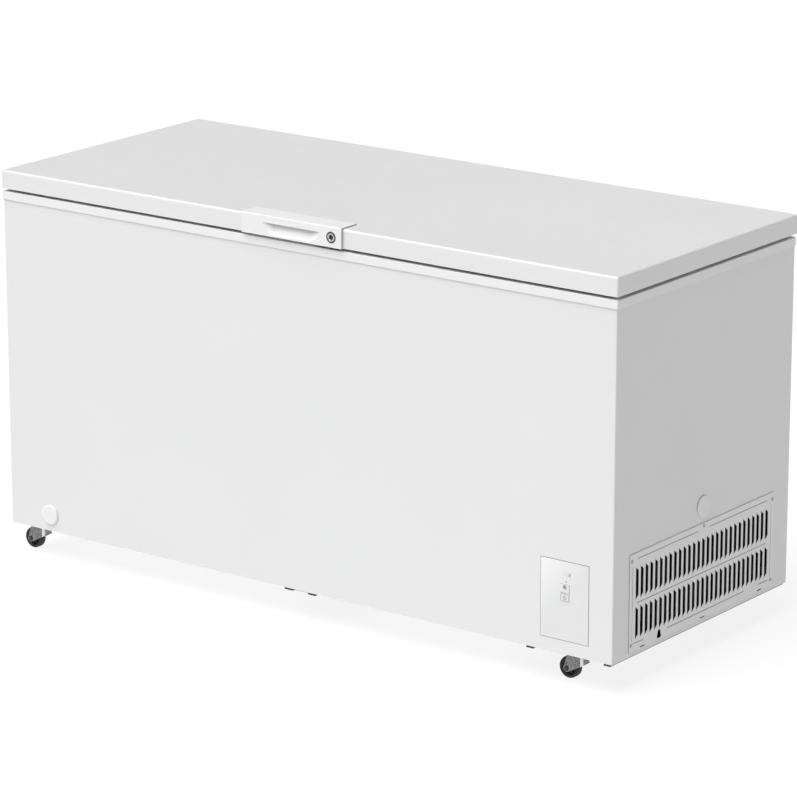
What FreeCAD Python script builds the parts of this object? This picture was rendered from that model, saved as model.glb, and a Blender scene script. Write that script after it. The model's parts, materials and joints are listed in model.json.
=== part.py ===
# Chest freezer on four swivel casters: hinged lid, lock, machine bay and hanging basket.
#
# Frame: +Z up, X along the width, the front faces -Y, floor at z = 0, origin under the middle of
# the overall box. Lengths in millimetres. Depths are counted from the cabinet's own middle and
# shifted together by plan_shift.
import FreeCAD, Part
import math
import os
import Sketcher

os.makedirs("parts", exist_ok=True)
doc = FreeCAD.newDocument("chest_freezer")

# ---------------------------------------------------------------- driving dimensions
DRIVING = (
    ("cab_width", 1650.0), ("cab_depth", 680.0), ("plan_shift", -7.3),
    ("floor_gap", 70.0), ("shell_height", 773.0), ("sheet_t", 1.0), ("wall_t", 70.0),
    ("floor_t", 76.0), ("edge_round", 3.0),
    ("trim_drop", 18.5), ("trim_proud", 2.2), ("joggle", 0.2), ("trim_t", 2.5), ("ledge_width", 10.0),
    ("ledge_depth", 12.5), ("running_gap", 0.3),
    ("bay_width", 260.0), ("bay_height", 225.0), ("step_height", 290.0), ("step_wall", 67.0),
    ("lid_gap", 6.9), ("lid_height", 41.8), ("lid_over_front", 3.4), ("lid_over_side", 2.6),
    ("lid_over_rear", 9.6), ("lid_round", 5.5), ("lid_corner", 4.0), ("lid_hem", 13.0),
    ("liner_t", 1.5), ("gasket_inset", 13.0), ("gasket_width", 14.0),
    ("handle_half", 134.0), ("handle_proud", 6.0), ("handle_lip", 0.5), ("handle_cap", 3.0),
    ("handle_reach", 53.4), ("cap_seat", 0.2), ("scoop_half", 76.5), ("scoop_depth", 7.0),
    ("scoop_radius", 48.0), ("scoop_ramp", 26.0), ("scoop_top", 28.6), ("pocket_back", 11.6),
    ("lock_x", 107.0), ("lock_rise", 21.6), ("lock_ring_r", 12.2), ("lock_body_r", 10.4),
    ("lock_plug_r", 8.0), ("fit_gap", 0.05), ("cam_reach", 36.0), ("cam_width", 12.0),
    ("cam_t", 2.0), ("keeper_left", 47.0), ("keeper_right", 17.0), ("keeper_rim", 6.0),
    ("hinge_x", 520.0), ("hinge_back", 8.4), ("hinge_rise", 9.6), ("knuckle_r", 7.0),
    ("pin_r", 3.5), ("leaf_half", 40.0), ("leaf_t", 2.5), ("lug_inner", 28.2),
    ("tab_outer", 27.7), ("tab_inner", 15.9), ("spring_wire_r", 1.2), ("spring_coil_r", 5.15),
    ("drain_x", -708.0), ("drain_z", 108.0), ("cap_r", 23.5), ("drain_bore_r", 9.0),
    ("drain_reach", 43.0), ("port_y", -3.0), ("port_z", 330.0), ("port_r", 17.0),
    ("port_neck_r", 19.5),
    ("panel_x", 705.0), ("panel_z", 186.0), ("panel_width", 122.0), ("panel_height", 174.0),
    ("panel_gap", 1.2), ("button_width", 22.0), ("button_height", 17.0), ("button_x", 706.0),
    ("button_z", 204.0), ("button_pitch", 19.8), ("button_gap", 0.35),
    ("grille_y", -0.5), ("grille_z", 186.0), ("grille_width", 560.0), ("grille_height", 213.0),
    ("grille_t", 1.6), ("slot_pitch", 18.0), ("slot_width", 11.0), ("slot_height", 71.0),
    ("slot_slant", 9.0), ("groove_width", 1.5), ("groove_depth", 1.1), ("clip_rise", 3.3),
    ("caster_right_x", 707.8), ("caster_left_x", -781.6), ("caster_y", 285.0),
    ("caster_trail", 22.0), ("wheel_r", 24.0), ("wheel_width", 18.0), ("axle_r", 4.0),
    ("fork_half", 16.5), ("fork_t", 2.0), ("fork_nose", 17.0), ("fork_bend", 6.0),
    ("fork_crown", 2.2), ("fork_eye_r", 8.0), ("bolt_head_r", 6.0), ("bolt_head_t", 1.6),
    ("kingpin_r", 4.95), ("race_r", 18.0), ("race_drop", 7.5), ("plate_size", 56.0),
    ("plate_t", 2.5),
    ("rail_drop", 5.0), ("rib_inset", 2.0),
    ("basket_left", 415.0), ("basket_length", 320.0), ("basket_half", 263.5),
    ("basket_top", 820.0), ("basket_drop", 200.0), ("wire_t", 3.0), ("mesh_pitch", 32.0),
    ("tube_r", 4.0), ("compressor_x", 695.0), ("compressor_y", 120.0), ("can_r", 72.0),
    ("can_height", 154.0), ("can_lift", 16.0), ("can_dome", 30.0), ("coil_gap", 47.0),
    ("coil_t", 30.0), ("coil_pitch", 28.0), ("coil_reach", 240.0), ("coil_lift", 14.0),
    ("fan_y", -100.0), ("fan_z", 180.0), ("fan_r", 80.0), ("shroud_gap", 58.0),
    ("winding_low", 400.0), ("winding_pitch", 60.0), ("drier_x", 600.0),
)

sheet = doc.addObject("Spreadsheet::Sheet", "Dims")
for row, (alias, value) in enumerate(DRIVING, start=1):
    sheet.set("A%d" % row, alias)
    sheet.set("B%d" % row, "%g" % value)
    sheet.setAlias("B%d" % row, alias)
doc.recompute()


class Size:
    """A length that knows its value and the sheet expression it comes from."""

    def __init__(self, value, text):
        self.value = value
        self.text = text

    def mix(self, other, sign, value):
        return Size(value, "(%s %s %s)" % (self.text, sign, text_of(other)))

    def __add__(self, other):
        return self.mix(other, "+", self.value + number(other))

    def __sub__(self, other):
        return self.mix(other, "-", self.value - number(other))

    def __mul__(self, other):
        return self.mix(other, "*", self.value * number(other))

    def __truediv__(self, other):
        return self.mix(other, "/", self.value / number(other))

    def __radd__(self, other):
        return Size(number(other), text_of(other)) + self

    def __rsub__(self, other):
        return Size(number(other), text_of(other)) - self

    def __rmul__(self, other):
        return Size(number(other), text_of(other)) * self

    def __neg__(self):
        return self * -1


def number(size):
    return size.value if isinstance(size, Size) else float(size)


def text_of(size):
    return size.text if isinstance(size, Size) else "(%g)" % size


class Dimensions:
    """The sheet's cells by name, each as a Size."""


D = Dimensions()
for alias, value in DRIVING:
    setattr(D, alias, Size(value, "Dims." + alias))


# ---------------------------------------------------------------- modelling helpers
TURN = {
    "x": FreeCAD.Rotation(FreeCAD.Vector(0, 1, 0), 90),
    "y": FreeCAD.Rotation(FreeCAD.Vector(1, 0, 0), -90),
    "z": FreeCAD.Rotation(),
}


def bind(item, prop, size):
    """Give a property its expression: a sum of sheet cells and numbers, or one number."""
    item.setExpression(prop, text_of(size))


def put(item, spot):
    """Bind an object's position, given from the cabinet's middle."""
    x, y, z = spot
    bind(item, "Placement.Base.x", x)
    bind(item, "Placement.Base.y", y + D.plan_shift)
    bind(item, "Placement.Base.z", z)
    return item


def block(name, x, y, z):
    """A box between the low and high value of each axis."""
    box = doc.addObject("Part::Box", name)
    bind(box, "Length", x[1] - x[0])
    bind(box, "Width", y[1] - y[0])
    bind(box, "Height", z[1] - z[0])
    return put(box, (x[0], y[0], z[0]))


def rod(name, along, radius, foot, length):
    """A cylinder that starts at foot and runs along an axis."""
    cylinder = doc.addObject("Part::Cylinder", name)
    bind(cylinder, "Radius", radius)
    bind(cylinder, "Height", length)
    cylinder.Placement.Rotation = TURN[along]
    return put(cylinder, foot)


def join(name, parts):
    fuse = doc.addObject("Part::MultiFuse", name)
    fuse.Shapes = parts
    fuse.Refine = True
    return fuse


def cut(name, base, tools):
    """The base without the tools."""
    result = doc.addObject("Part::Cut", name)
    result.Base = base
    result.Tool = tools[0] if len(tools) == 1 else join(name + "_tools", tools)
    result.Refine = True
    return result


def group(name, parts):
    """Several equal pieces kept as separate solids of one node."""
    compound = doc.addObject("Part::Compound", name)
    compound.Links = parts
    return compound


def rounded(name, base, radius, wanted):
    """Fillet the base's edges that the test accepts, by their two end points."""
    doc.recompute()
    fillet = doc.addObject("Part::Fillet", name)
    fillet.Base = base
    size = number(radius)
    fillet.Edges = [
        (place, size, size)
        for place, edge in enumerate(base.Shape.Edges, start=1)
        if len(edge.Vertexes) == 2 and wanted(edge.Vertexes[0].Point, edge.Vertexes[1].Point)
    ]
    return fillet


def upright(low, high):
    """Accept an edge that runs straight up."""
    return abs(low.x - high.x) < 0.01 and abs(low.y - high.y) < 0.01


def level_at(height):
    """Accept the edges that lie at one height."""
    return lambda low, high: abs(low.z - height) < 0.01 and abs(high.z - height) < 0.01


def sketch_on(body, name, plane, points):
    """A closed outline of straight lines through the points, each one bound to the sheet."""
    sketch = body.newObject("Sketcher::SketchObject", name)
    origin = next(f for f in body.Origin.OriginFeatures if f.Role == plane)
    sketch.AttachmentSupport = [(origin, "")]
    sketch.MapMode = "FlatFace"
    corners = [FreeCAD.Vector(number(u), number(v), 0) for u, v in points]
    for place, corner in enumerate(corners):
        follower = corners[(place + 1) % len(corners)]
        sketch.addGeometry(Part.LineSegment(corner, follower))
    for place in range(len(corners)):
        after = (place + 1) % len(corners)
        sketch.addConstraint(Sketcher.Constraint("Coincident", place, 2, after, 1))
    for place, pair in enumerate(points):
        for kind, size in zip(("DistanceX", "DistanceY"), pair):
            row = sketch.addConstraint(
                Sketcher.Constraint(kind, -1, 1, place, 1, number(size)))
            if isinstance(size, Size):
                sketch.setExpression("Constraints[%d]" % row, size.text)
    return sketch


def prism(name, plane, points, length, spot):
    """An outline on one of the body's own planes, padded both ways about that plane."""
    body = doc.addObject("PartDesign::Body", name)
    outline = sketch_on(body, name + "_outline", plane, points)
    pad = body.newObject("PartDesign::Pad", name + "_pad")
    pad.Profile = outline
    pad.Midplane = True
    bind(pad, "Length", length)
    return put(body, spot)


def turned(name, points, along, spot):
    """A revolved body: points are (radius, height), and the axis turns to x, y or z."""
    body = doc.addObject("PartDesign::Body", name)
    outline = sketch_on(body, name + "_profile", "XZ_Plane", points)
    spin = body.newObject("PartDesign::Revolution", name + "_spin")
    spin.Profile = outline
    spin.ReferenceAxis = (outline, ["V_Axis"])
    spin.Angle = 360.0
    body.Placement.Rotation = TURN[along]
    return put(body, spot)


def feature(name, shape, spot=None):
    """A piece whose shape comes from Part's own functions, placed afterwards."""
    item = doc.addObject("Part::Feature", name)
    item.Shape = shape
    if spot is not None:
        put(item, spot)
    return item


def solid_box(x, y, z):
    """A plain box shape between low and high numbers."""
    size = (x[1] - x[0], y[1] - y[0], z[1] - z[0])
    return Part.makeBox(*size, FreeCAD.Vector(x[0], y[0], z[0]))


def bent_tube(points, bend, radius):
    """A round tube along straight runs joined by tangent arcs."""
    corners = [FreeCAD.Vector(*point) for point in points]
    edges = []
    last = corners[0]
    for before, corner, after in zip(corners, corners[1:], corners[2:]):
        come = (corner - before).normalize()
        leave = (after - corner).normalize()
        half = come.getAngle(leave) / 2
        trim = bend * math.tan(half)
        start = corner - come * trim
        finish = corner + leave * trim
        inward = (leave - come).normalize()
        centre = corner + inward * (bend / math.cos(half))
        middle = centre - inward * bend
        edges.append(Part.LineSegment(last, start).toShape())
        edges.append(Part.Arc(start, middle, finish).toShape())
        last = finish
    edges.append(Part.LineSegment(last, corners[-1]).toShape())
    path = Part.Wire(edges)
    ring = Part.Wire(Part.makeCircle(radius, corners[0], corners[1] - corners[0]))
    return path.makePipeShell([ring], True, True)


NODES = []


def node(label, item):
    """Name a finished piece and keep it for export."""
    item.Label = label
    NODES.append((label, item))
    return item


# ---------------------------------------------------------------- shared levels
half_w = D.cab_width / 2
half_d = D.cab_depth / 2
skin = D.sheet_t
base_z = D.floor_gap
shell_top = base_z + D.shell_height
trim_top = shell_top + D.trim_t
trim_low = trim_top - D.trim_drop
lid_low = trim_top + D.lid_gap
lid_top = lid_low + D.lid_height
lid_half = half_w + D.lid_over_side
lid_front = -(half_d + D.lid_over_front)
lid_rear = half_d + D.lid_over_rear
cave_x = half_w - D.wall_t
cave_y = half_d - D.wall_t
cave_low = base_z + D.floor_t
ledge_x = cave_x + D.ledge_width
ledge_y = cave_y + D.ledge_width
ledge_top = trim_top - D.ledge_depth
bay_left = half_w - D.bay_width
bay_top = base_z + D.bay_height
step_top = base_z + D.step_height
step_x = bay_left - D.step_wall
lock_z = lid_low + D.lock_rise
handle_front = lid_front - D.handle_proud
axis_y = lid_rear + D.hinge_back
axis_z = lid_low + D.hinge_rise
cam_y = lid_front + 6.0
keeper_x = (D.lock_x - D.keeper_left, D.lock_x + D.keeper_right)
keeper_slot_x = (keeper_x[0] + D.keeper_rim, keeper_x[1] - D.keeper_rim)
keeper_y = (-half_d + 0.2, -half_d + 7)
keeper_slot_y = (-half_d + 1.4, -half_d + 5.8)
keeper_t = 1.5
deck_z = base_z + 2
coil_left = half_w - D.coil_gap
coil_x = coil_left + D.coil_t / 2
coil_low = deck_z + D.coil_lift
coil_row = coil_low + 12
drier_low = D.compressor_y + 18


# the air grille's pattern, from the grille's middle: slot columns, the lower edge of each row of
# slots, the middles of the clip slots and of the keyhole
SLOT_COLUMNS = 29
SLOT_ROWS = (-81.5, 4.5)
CLIPS = (-229.5, 0.5, 227.5)
KEYHOLE = -166.5


# ---------------------------------------------------------------- cabinet
def outer_shell():
    """Front and side sheets wrapped in one piece, with its windows and holes."""
    outside = block("wrap_outside", (-half_w, half_w), (-half_d, half_d), (base_z, shell_top))
    inside = block("wrap_inside", (-half_w + skin, half_w - skin), (-half_d + skin, half_d + 1),
                   (base_z - 1, shell_top + 1))
    front = number(-half_d + D.plan_shift)
    outside = rounded("wrap_outside_round", outside, D.edge_round,
                      lambda low, high: upright(low, high) and low.y < front + 2)
    inside = rounded("wrap_inside_round", inside, D.edge_round - skin,
                     lambda low, high: upright(low, high) and low.y < front + 2)
    half_panel = D.panel_width / 2
    panel = block("wrap_panel_window", (D.panel_x - half_panel, D.panel_x + half_panel),
                  (-half_d - 1, -half_d + 2),
                  (D.panel_z - D.panel_height / 2, D.panel_z + D.panel_height / 2))
    air = block("wrap_air_window", (half_w - 2, half_w + 1),
                (D.grille_y - D.grille_width / 2 + 13, D.grille_y + D.grille_width / 2 - 13),
                (D.grille_z - D.grille_height / 2 + 1.2, D.grille_z + D.grille_height / 2 - 14))
    drain = rod("wrap_drain_hole", "y", D.drain_bore_r + 0.5,
                (D.drain_x, -half_d - 1, D.drain_z), 3)
    port = rod("wrap_port_hole", "x", D.port_r, (half_w - 2, D.port_y, D.port_z), 4)
    around = block("wrap_joggle_around", (-half_w - 1, half_w + 1), (-half_d - 1, half_d + 1),
                   (trim_low, shell_top + 1))
    keep = block("wrap_joggle_keep", (-half_w + D.joggle, half_w - D.joggle),
                 (-half_d + D.joggle, half_d + 2), (trim_low - 1, shell_top + 2))
    joggle = cut("wrap_joggle", around, [keep])
    return cut("outer_wrap", outside, [inside, panel, air, drain, port, joggle])


def vent_slots(name, x, z, count, pitch, height):
    """A row of upright slots through the rear sheet or cover."""
    return [
        block("%s_%d" % (name, place), (x + pitch * place, x + pitch * place + pitch / 2),
              (half_d - 3, half_d + 5), (z, z + height))
        for place in range(count)
    ]


def cavity_block(name, grow, top):
    """One solid of the storage space with rounded upright corners."""
    x_low = -cave_x - grow
    x_step = step_x + grow
    x_high = cave_x + grow
    z_low = cave_low - grow
    z_step = step_top - grow
    body = prism(name, "XZ_Plane",
                 [(x_low, z_low), (x_step, z_low), (x_step, z_step), (x_high, z_step),
                  (x_high, top), (x_low, top)],
                 (cave_y + grow) * 2, (0, 0, 0))
    return rounded(name + "_round", body, 20 + number(grow),
                   lambda low, high: upright(low, high)
                   and abs(low.z - high.z) > 100 and abs(low.x) > number(cave_x) - 1)


def inner_liner(space):
    inside = cavity_block("liner_inside", 0, shell_top + 40)
    drain = rod("liner_drain_hole", "z", D.drain_bore_r,
                (D.drain_x, -cave_y + D.drain_reach, cave_low - 5), 10)
    lid_off = block("liner_top_trim", (-half_w, half_w), (-half_d, half_d),
                    (ledge_top - D.trim_t, shell_top + 60))
    return cut("liner_pan", space, [inside, drain, lid_off])


def cabinet_foam(space):
    bulk = block("foam_bulk", (-half_w + skin, half_w - skin), (-half_d + skin, half_d - skin),
                 (base_z + skin, shell_top))
    bay = block("foam_bay", (bay_left, half_w + 1), (-half_d, half_d), (base_z - 1, bay_top))
    rim = block("foam_rim", (-ledge_x - D.trim_t, ledge_x + D.trim_t),
                (-ledge_y - D.trim_t, ledge_y + D.trim_t), (ledge_top - D.trim_t, shell_top + 1))
    catch = block("foam_catch", keeper_slot_x, (-half_d, -half_d + 6),
                  (shell_top - 10, shell_top + 1))
    front = number(-half_d + D.plan_shift)
    bulk = rounded("foam_bulk_round", bulk, D.edge_round - skin,
                   lambda low, high: upright(low, high) and low.y < front + 2)
    drain = feature("foam_drain_channel", drain_elbow(number(D.drain_bore_r) + 3, 2), (0, 0, 0))
    return cut("foam_body", bulk, [bay, rim, catch, space, drain])


def top_trim():
    """Rim frame: outer skirt, flat land, and an inner ledge for the basket."""
    t = D.trim_t
    land = block("trim_land", (-half_w - D.trim_proud, half_w + D.trim_proud),
                 (-half_d - D.trim_proud, half_d + D.trim_proud), (trim_low, trim_top))
    skirt = block("trim_skirt", (-half_w + D.joggle, half_w - D.joggle),
                  (-half_d + D.joggle, half_d), (trim_low - 1, shell_top))
    mouth = block("trim_mouth", (-ledge_x, ledge_x), (-ledge_y, ledge_y),
                  (ledge_top, trim_top + 1))
    hole = block("trim_hole", (-cave_x, cave_x), (-cave_y, cave_y), (trim_low - 9, trim_top + 2))
    well = block("trim_well", (-ledge_x - t, ledge_x + t), (-ledge_y - t, ledge_y + t),
                 (ledge_top - t, shell_top))
    land = rounded("trim_land_round", land, 2.0, lambda low, high: upright(low, high))
    land = rounded("trim_land_edge", land, 1.5, level_at(number(trim_top)))
    frame = join("trim_frame", [cut("trim_outer", land, [skirt]), well])
    seat = block("trim_keeper_seat", keeper_x, keeper_y, (trim_top - keeper_t, trim_top + 1))
    slot = block("trim_keeper_slot", keeper_slot_x, keeper_slot_y, (shell_top - 1, trim_top + 1))
    return cut("trim_rim", frame, [mouth, hole, seat, slot])


def lock_keeper():
    """Slotted plate let into the rim, which the lock's cam turns down into."""
    plate = block("keeper_plate", keeper_x, keeper_y, (trim_top - keeper_t, trim_top))
    slot = block("keeper_slot", keeper_slot_x, keeper_slot_y, (trim_top - 3, trim_top + 1))
    return cut("keeper", plate, [slot])


def base_rail():
    """Stiffening rail across the middle of the base, with two downturned feet."""
    back = half_d - D.rib_inset
    foot_z = base_z - D.rail_drop
    left = (-34, -11)
    right = (31, 51)
    return join("middle_rail", [
        block("rail_left", left, (-back, back), (foot_z, base_z)),
        block("rail_right", right, (-back, back), (foot_z, base_z)),
        block("rail_web", (left[0], right[1]), (-back, back), (base_z - 1.5, base_z))])


def compressor_tray():
    """Floor of the machine bay, with two ribs below and a lip beside the foam."""
    deep = (-half_d + skin, half_d - skin)
    rib_deep = (-half_d + D.rib_inset, half_d - D.rib_inset)
    rib_z = (base_z - D.rail_drop, base_z)
    deck = block("tray_deck", (bay_left, half_w - skin), deep, (base_z, deck_z))
    inner = block("tray_inner_rib", (bay_left + 43, bay_left + 61), rib_deep, rib_z)
    outer = block("tray_outer_rib", (half_w - 22, half_w - 6), rib_deep, rib_z)
    lip = block("tray_lip", (bay_left, bay_left + 1.5), deep, (base_z, base_z + 20))
    return join("tray", [deck, inner, outer, lip])


# ---------------------------------------------------------------- machine bay
def bay_partition():
    """Bent sheet that lines the foam's wall and ceiling in the machine bay."""
    deep = (-half_d + skin, half_d - skin)
    wall = block("partition_wall", (bay_left, bay_left + skin), deep, (base_z + 20, bay_top))
    ceiling = block("partition_ceiling", (bay_left, half_w - skin), deep, (bay_top - skin, bay_top))
    return join("partition", [wall, ceiling])


def compressor():
    """Hermetic can with its weld flange and foot plate."""
    foot_z = deck_z + D.can_lift
    can = rod("can", "z", D.can_r, (D.compressor_x, D.compressor_y, foot_z + 3), D.can_height)
    doc.recompute()
    dome = doc.addObject("Part::Fillet", "can_dome")
    dome.Base = can
    bend = number(D.can_dome)
    dome.Edges = [
        (place, bend, bend)
        for place, edge in enumerate(can.Shape.Edges, start=1) if len(edge.Vertexes) == 1
    ]
    flange = rod("can_flange", "z", D.can_r + 3, (D.compressor_x, D.compressor_y, foot_z + 78), 5)
    plate = block("can_foot", (D.compressor_x - 80, D.compressor_x + 72),
                  (D.compressor_y - 100, D.compressor_y + 100), (foot_z, foot_z + 3))
    stem = rod("can_stem", "z", 40, (D.compressor_x, D.compressor_y, foot_z + 1), 6)
    return join("compressor_can", [dome, flange, plate, stem])


def grommets():
    spots = [(D.compressor_x + side_x, D.compressor_y + side_y)
             for side_x in (-65, 58) for side_y in (-85, 85)]
    return group("grommet_set", [
        rod("grommet_%d" % place, "z", 10, (x, y, deck_z), D.can_lift)
        for place, (x, y) in enumerate(spots)
    ])


def terminal_box():
    box = block("terminal_block", (D.compressor_x - 98, D.compressor_x - 50),
                (D.compressor_y - 26, D.compressor_y + 26), (deck_z + 48, deck_z + 88))
    can = rod("terminal_can", "z", D.can_r, (D.compressor_x, D.compressor_y, deck_z), 200)
    seam = rod("terminal_seam", "z", D.can_r + 3.3,
               (D.compressor_x, D.compressor_y, deck_z + 80), 20)
    return cut("terminal_cover", box, [can, seam])


FIN_COUNT = 30
TUBE_ROWS = 6
DRIER_LENGTH = 94.0


def condenser():
    """Serpentine tube through a stack of thin fins behind the air grille."""
    left = number(coil_left)
    right = left + number(D.coil_t)
    middle = number(coil_x)
    low = number(coil_low)
    high = low + number(D.coil_pitch) * TUBE_ROWS
    reach = number(D.coil_reach)
    points = []
    for row in range(TUBE_ROWS):
        height = number(coil_row) + number(D.coil_pitch) * row
        end = (reach + 16) * (-1 if row % 2 else 1)
        points += [(middle, end, height), (middle, -end, height)]
    tube = bent_tube(points, 13.0, number(D.tube_r))
    step = 2 * (reach - 10) / (FIN_COUNT - 1)
    fin_half = 0.4
    fins = []
    for place in range(FIN_COUNT):
        y = -reach + 10 + step * place
        fins.append(solid_box((left, right), (y - fin_half, y + fin_half), (low, high)))
    ends = [
        solid_box((left - 2, right), (side * reach - 1, side * reach + 1),
                  (number(deck_z), high))
        for side in (-1, 1)
    ]
    return feature("condenser_block", tube.multiFuse(fins + ends), (0, 0, 0))


def fan_shroud():
    """Plate with a round air hole, and struts that carry the motor."""
    face = half_w - D.shroud_gap
    plate = block("shroud_plate", (face, face + 2), (D.fan_y - 110, D.fan_y + 104),
                  (deck_z, deck_z + 204))
    hole = rod("shroud_hole", "x", D.fan_r + 4, (face - 2, D.fan_y, D.fan_z), 8)
    struts = []
    for place in range(4):
        angle = math.radians(45 + 90 * place)
        struts.append(rod("shroud_strut_%d" % place, "x", 3,
                          (face - 78, D.fan_y + 92 * math.cos(angle),
                           D.fan_z + 92 * math.sin(angle)), 80))
    bars = []
    for place, tilt in enumerate((45, -45)):
        bar = feature("shroud_bar_%d" % place,
                      Part.makeBox(3, 196, 10, FreeCAD.Vector(0, -98, -5)))
        bar.Placement.Rotation = FreeCAD.Rotation(FreeCAD.Vector(1, 0, 0), tilt)
        bars.append(put(bar, (face - 78, D.fan_y, D.fan_z)))
    return join("fan_guard", [cut("shroud_ring", plate, [hole])] + struts + bars)


def fan_motor():
    face = half_w - D.shroud_gap
    case = rod("motor_case", "x", 26, (face - 75, D.fan_y, D.fan_z), 34)
    shaft = rod("motor_shaft", "x", 3, (face - 42, D.fan_y, D.fan_z), 28)
    return join("motor", [case, shaft])


def fan_wheel():
    """Hub with five pitched blades, bored for the motor shaft."""
    hub_r = 18.0
    length = 22.0
    wheel = Part.makeCylinder(hub_r, length, FreeCAD.Vector(0, 0, 0), FreeCAD.Vector(1, 0, 0))
    blades = []
    for place in range(5):
        blade = solid_box((0, 2), (-24, 24), (hub_r - 3, number(D.fan_r) + 10))
        blade.rotate(FreeCAD.Vector(1, 0, 0), FreeCAD.Vector(0, 0, 1), 24)
        blade.translate(FreeCAD.Vector(10, 0, 0))
        blade.rotate(FreeCAD.Vector(0, 0, 0), FreeCAD.Vector(1, 0, 0), 72 * place)
        blades.append(blade)
    sweep = Part.makeCylinder(number(D.fan_r), 40, FreeCAD.Vector(-8, 0, 0),
                              FreeCAD.Vector(1, 0, 0))
    bore = Part.makeCylinder(3 + number(D.fit_gap), 60, FreeCAD.Vector(-20, 0, 0),
                             FreeCAD.Vector(1, 0, 0))
    shape = wheel.multiFuse(blades).common(sweep).cut(bore)
    return feature("fan_rotor", shape, (half_w - D.shroud_gap - 29, D.fan_y, D.fan_z))


def evaporator():
    """Tube wound to and fro round the liner, in the foam."""
    gap = number(D.tube_r) + 1.2
    x = number(cave_x) + 1 + gap
    y = number(cave_y) + 1 + gap
    low = number(D.winding_low)
    pitch = number(D.winding_pitch)
    entry = 620.0
    stops = (690.0, 640.0)
    points = [(entry, y, number(bay_top) + 1), (entry, y, low)]
    ring = [(-x, y), (-x, -y), (x, -y), (x, y)]
    for level in range(7):
        height = low + pitch * level
        corners = ring if level % 2 == 0 else ring[::-1]
        points += [(cx, cy, height) for cx, cy in corners]
        points.append((stops[level % 2], y, height))
        points.append((stops[level % 2], y, height + pitch))
    points.pop()
    return feature("evaporator_winding", bent_tube(points, 26.0, number(D.tube_r)),
                   (0, 0, 0))


def pipes():
    """Discharge, suction, liquid and capillary lines of the machine bay."""
    can_x = number(D.compressor_x)
    can_y = number(D.compressor_y)
    can_side = number(D.can_r) + 0.2
    x = number(coil_x)
    low = number(coil_row)
    high = low + number(D.coil_pitch) * (TUBE_ROWS - 1)
    out_y = number(D.coil_reach) + 16
    wall = number(bay_left + skin)
    drier_x = number(D.drier_x)
    drier_y = number(drier_low)
    behind = 290.0
    discharge_z = 130.0
    discharge = bent_tube([
        (can_x, can_y + can_side, discharge_z), (can_x, behind, discharge_z),
        (can_x, behind, high), (x, behind, high), (x, out_y, high)], 12.0, 3.0)
    beside = 20.0
    suction_z = 150.0
    wall_z = 272.0
    suction = bent_tube([
        (can_x, can_y - can_side, suction_z), (can_x, beside, suction_z),
        (drier_x, beside, suction_z), (drier_x, beside, wall_z), (wall, beside, wall_z)], 12.0, 4.0)
    liquid = bent_tube([
        (x, out_y, low), (x, behind - 5, low), (drier_x, behind - 5, low),
        (drier_x, drier_y + DRIER_LENGTH, low)], 12.0, 2.5)
    knee = drier_y - 28
    capillary = bent_tube([(drier_x, drier_y, low), (drier_x, knee, low), (wall, knee, low)],
                          8.0, 1.2)
    return feature("pipe_runs", Part.Compound([discharge, suction, liquid, capillary]),
                   (0, 0, 0))


def filter_drier():
    """Slim can with coned ends, between the condenser and the capillary line."""
    cone = 10
    return turned("drier_can", [(0, 0), (4, 0), (10, cone), (10, DRIER_LENGTH - cone),
                                (4, DRIER_LENGTH), (0, DRIER_LENGTH)],
                  "y", (D.drier_x, drier_low, coil_row))


def bay_cover():
    """Slotted rear cover of the machine bay."""
    plate = block("cover_plate", (bay_left + 12, half_w - 14), (half_d, half_d + 1.5),
                  (base_z + 8, bay_top - 6))
    slots = vent_slots("cover_slot", bay_left + 42, base_z + 90, 8, 16, 90)
    gland = rod("cover_gland_hole", "y", 8, (half_w - 60, half_d - 4, base_z + 40), 10)
    return cut("rear_cover", plate, slots + [gland])


def back_panel():
    plate = block("back_sheet", (-half_w + skin, half_w - skin), (half_d - skin, half_d),
                  (base_z, shell_top))
    window = block("back_window", (bay_left + 30, half_w - 30), (half_d - 3, half_d + 3),
                   (base_z + 24, bay_top - 22))
    return cut("back_skin", plate, [window])


def cord_gland():
    """Rubber bush for the mains lead in the rear cover."""
    return turned("gland_bush", [(0, 0), (7.9, 0), (7.9, 2), (12, 2), (12, 5), (9, 8), (0, 8)],
                  "y", (half_w - 60, half_d - 0.5, base_z + 40))


def grille_screw_spots():
    """Depth and height of the air grille's five screws, from its middle."""
    side = D.grille_width / 2 - 7
    high = D.grille_height / 2 - 15
    return [(-side, high), (0, high + 9), (side, high), (-side, -high), (side, -high)]


def cover_screws():
    """Screws of the air grille and of the rear cover."""
    face = half_w + D.grille_t - 1.0
    heads = [
        rod("grille_screw_%d" % place, "x", 3.2, (face, D.grille_y + y, D.grille_z + z), 1.4)
        for place, (y, z) in enumerate(grille_screw_spots())
    ]
    rear_spots = [(x, z) for z in (base_z + 16, bay_top - 14)
                  for x in (bay_left + 20, half_w - 22)]
    heads += [
        rod("rear_screw_%d" % place, "y", 4, (x, half_d + 1.5, z), 1.8)
        for place, (x, z) in enumerate(rear_spots)
    ]
    return group("screw_set", heads)


# ---------------------------------------------------------------- drain and port
def drain_elbow(radius, spare):
    """A solid elbow from the front drain mouth to the liner's drain hole, spare longer at each end."""
    x = number(D.drain_x)
    back = number(-cave_y + D.drain_reach)
    mouth = number(-half_d + skin) - spare
    level = number(D.drain_z)
    top = number(cave_low - skin) + spare
    return bent_tube([(x, mouth, level), (x, back, level), (x, back, top)], 16.0, radius)


def drain_tube():
    """Elbow from the liner's drain hole to the front drain mouth."""
    bore = number(D.drain_bore_r)
    wall = drain_elbow(bore + 3, 0).cut(drain_elbow(bore, 5))
    return feature("drain_pipe", wall, (0, 0, 0))


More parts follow.
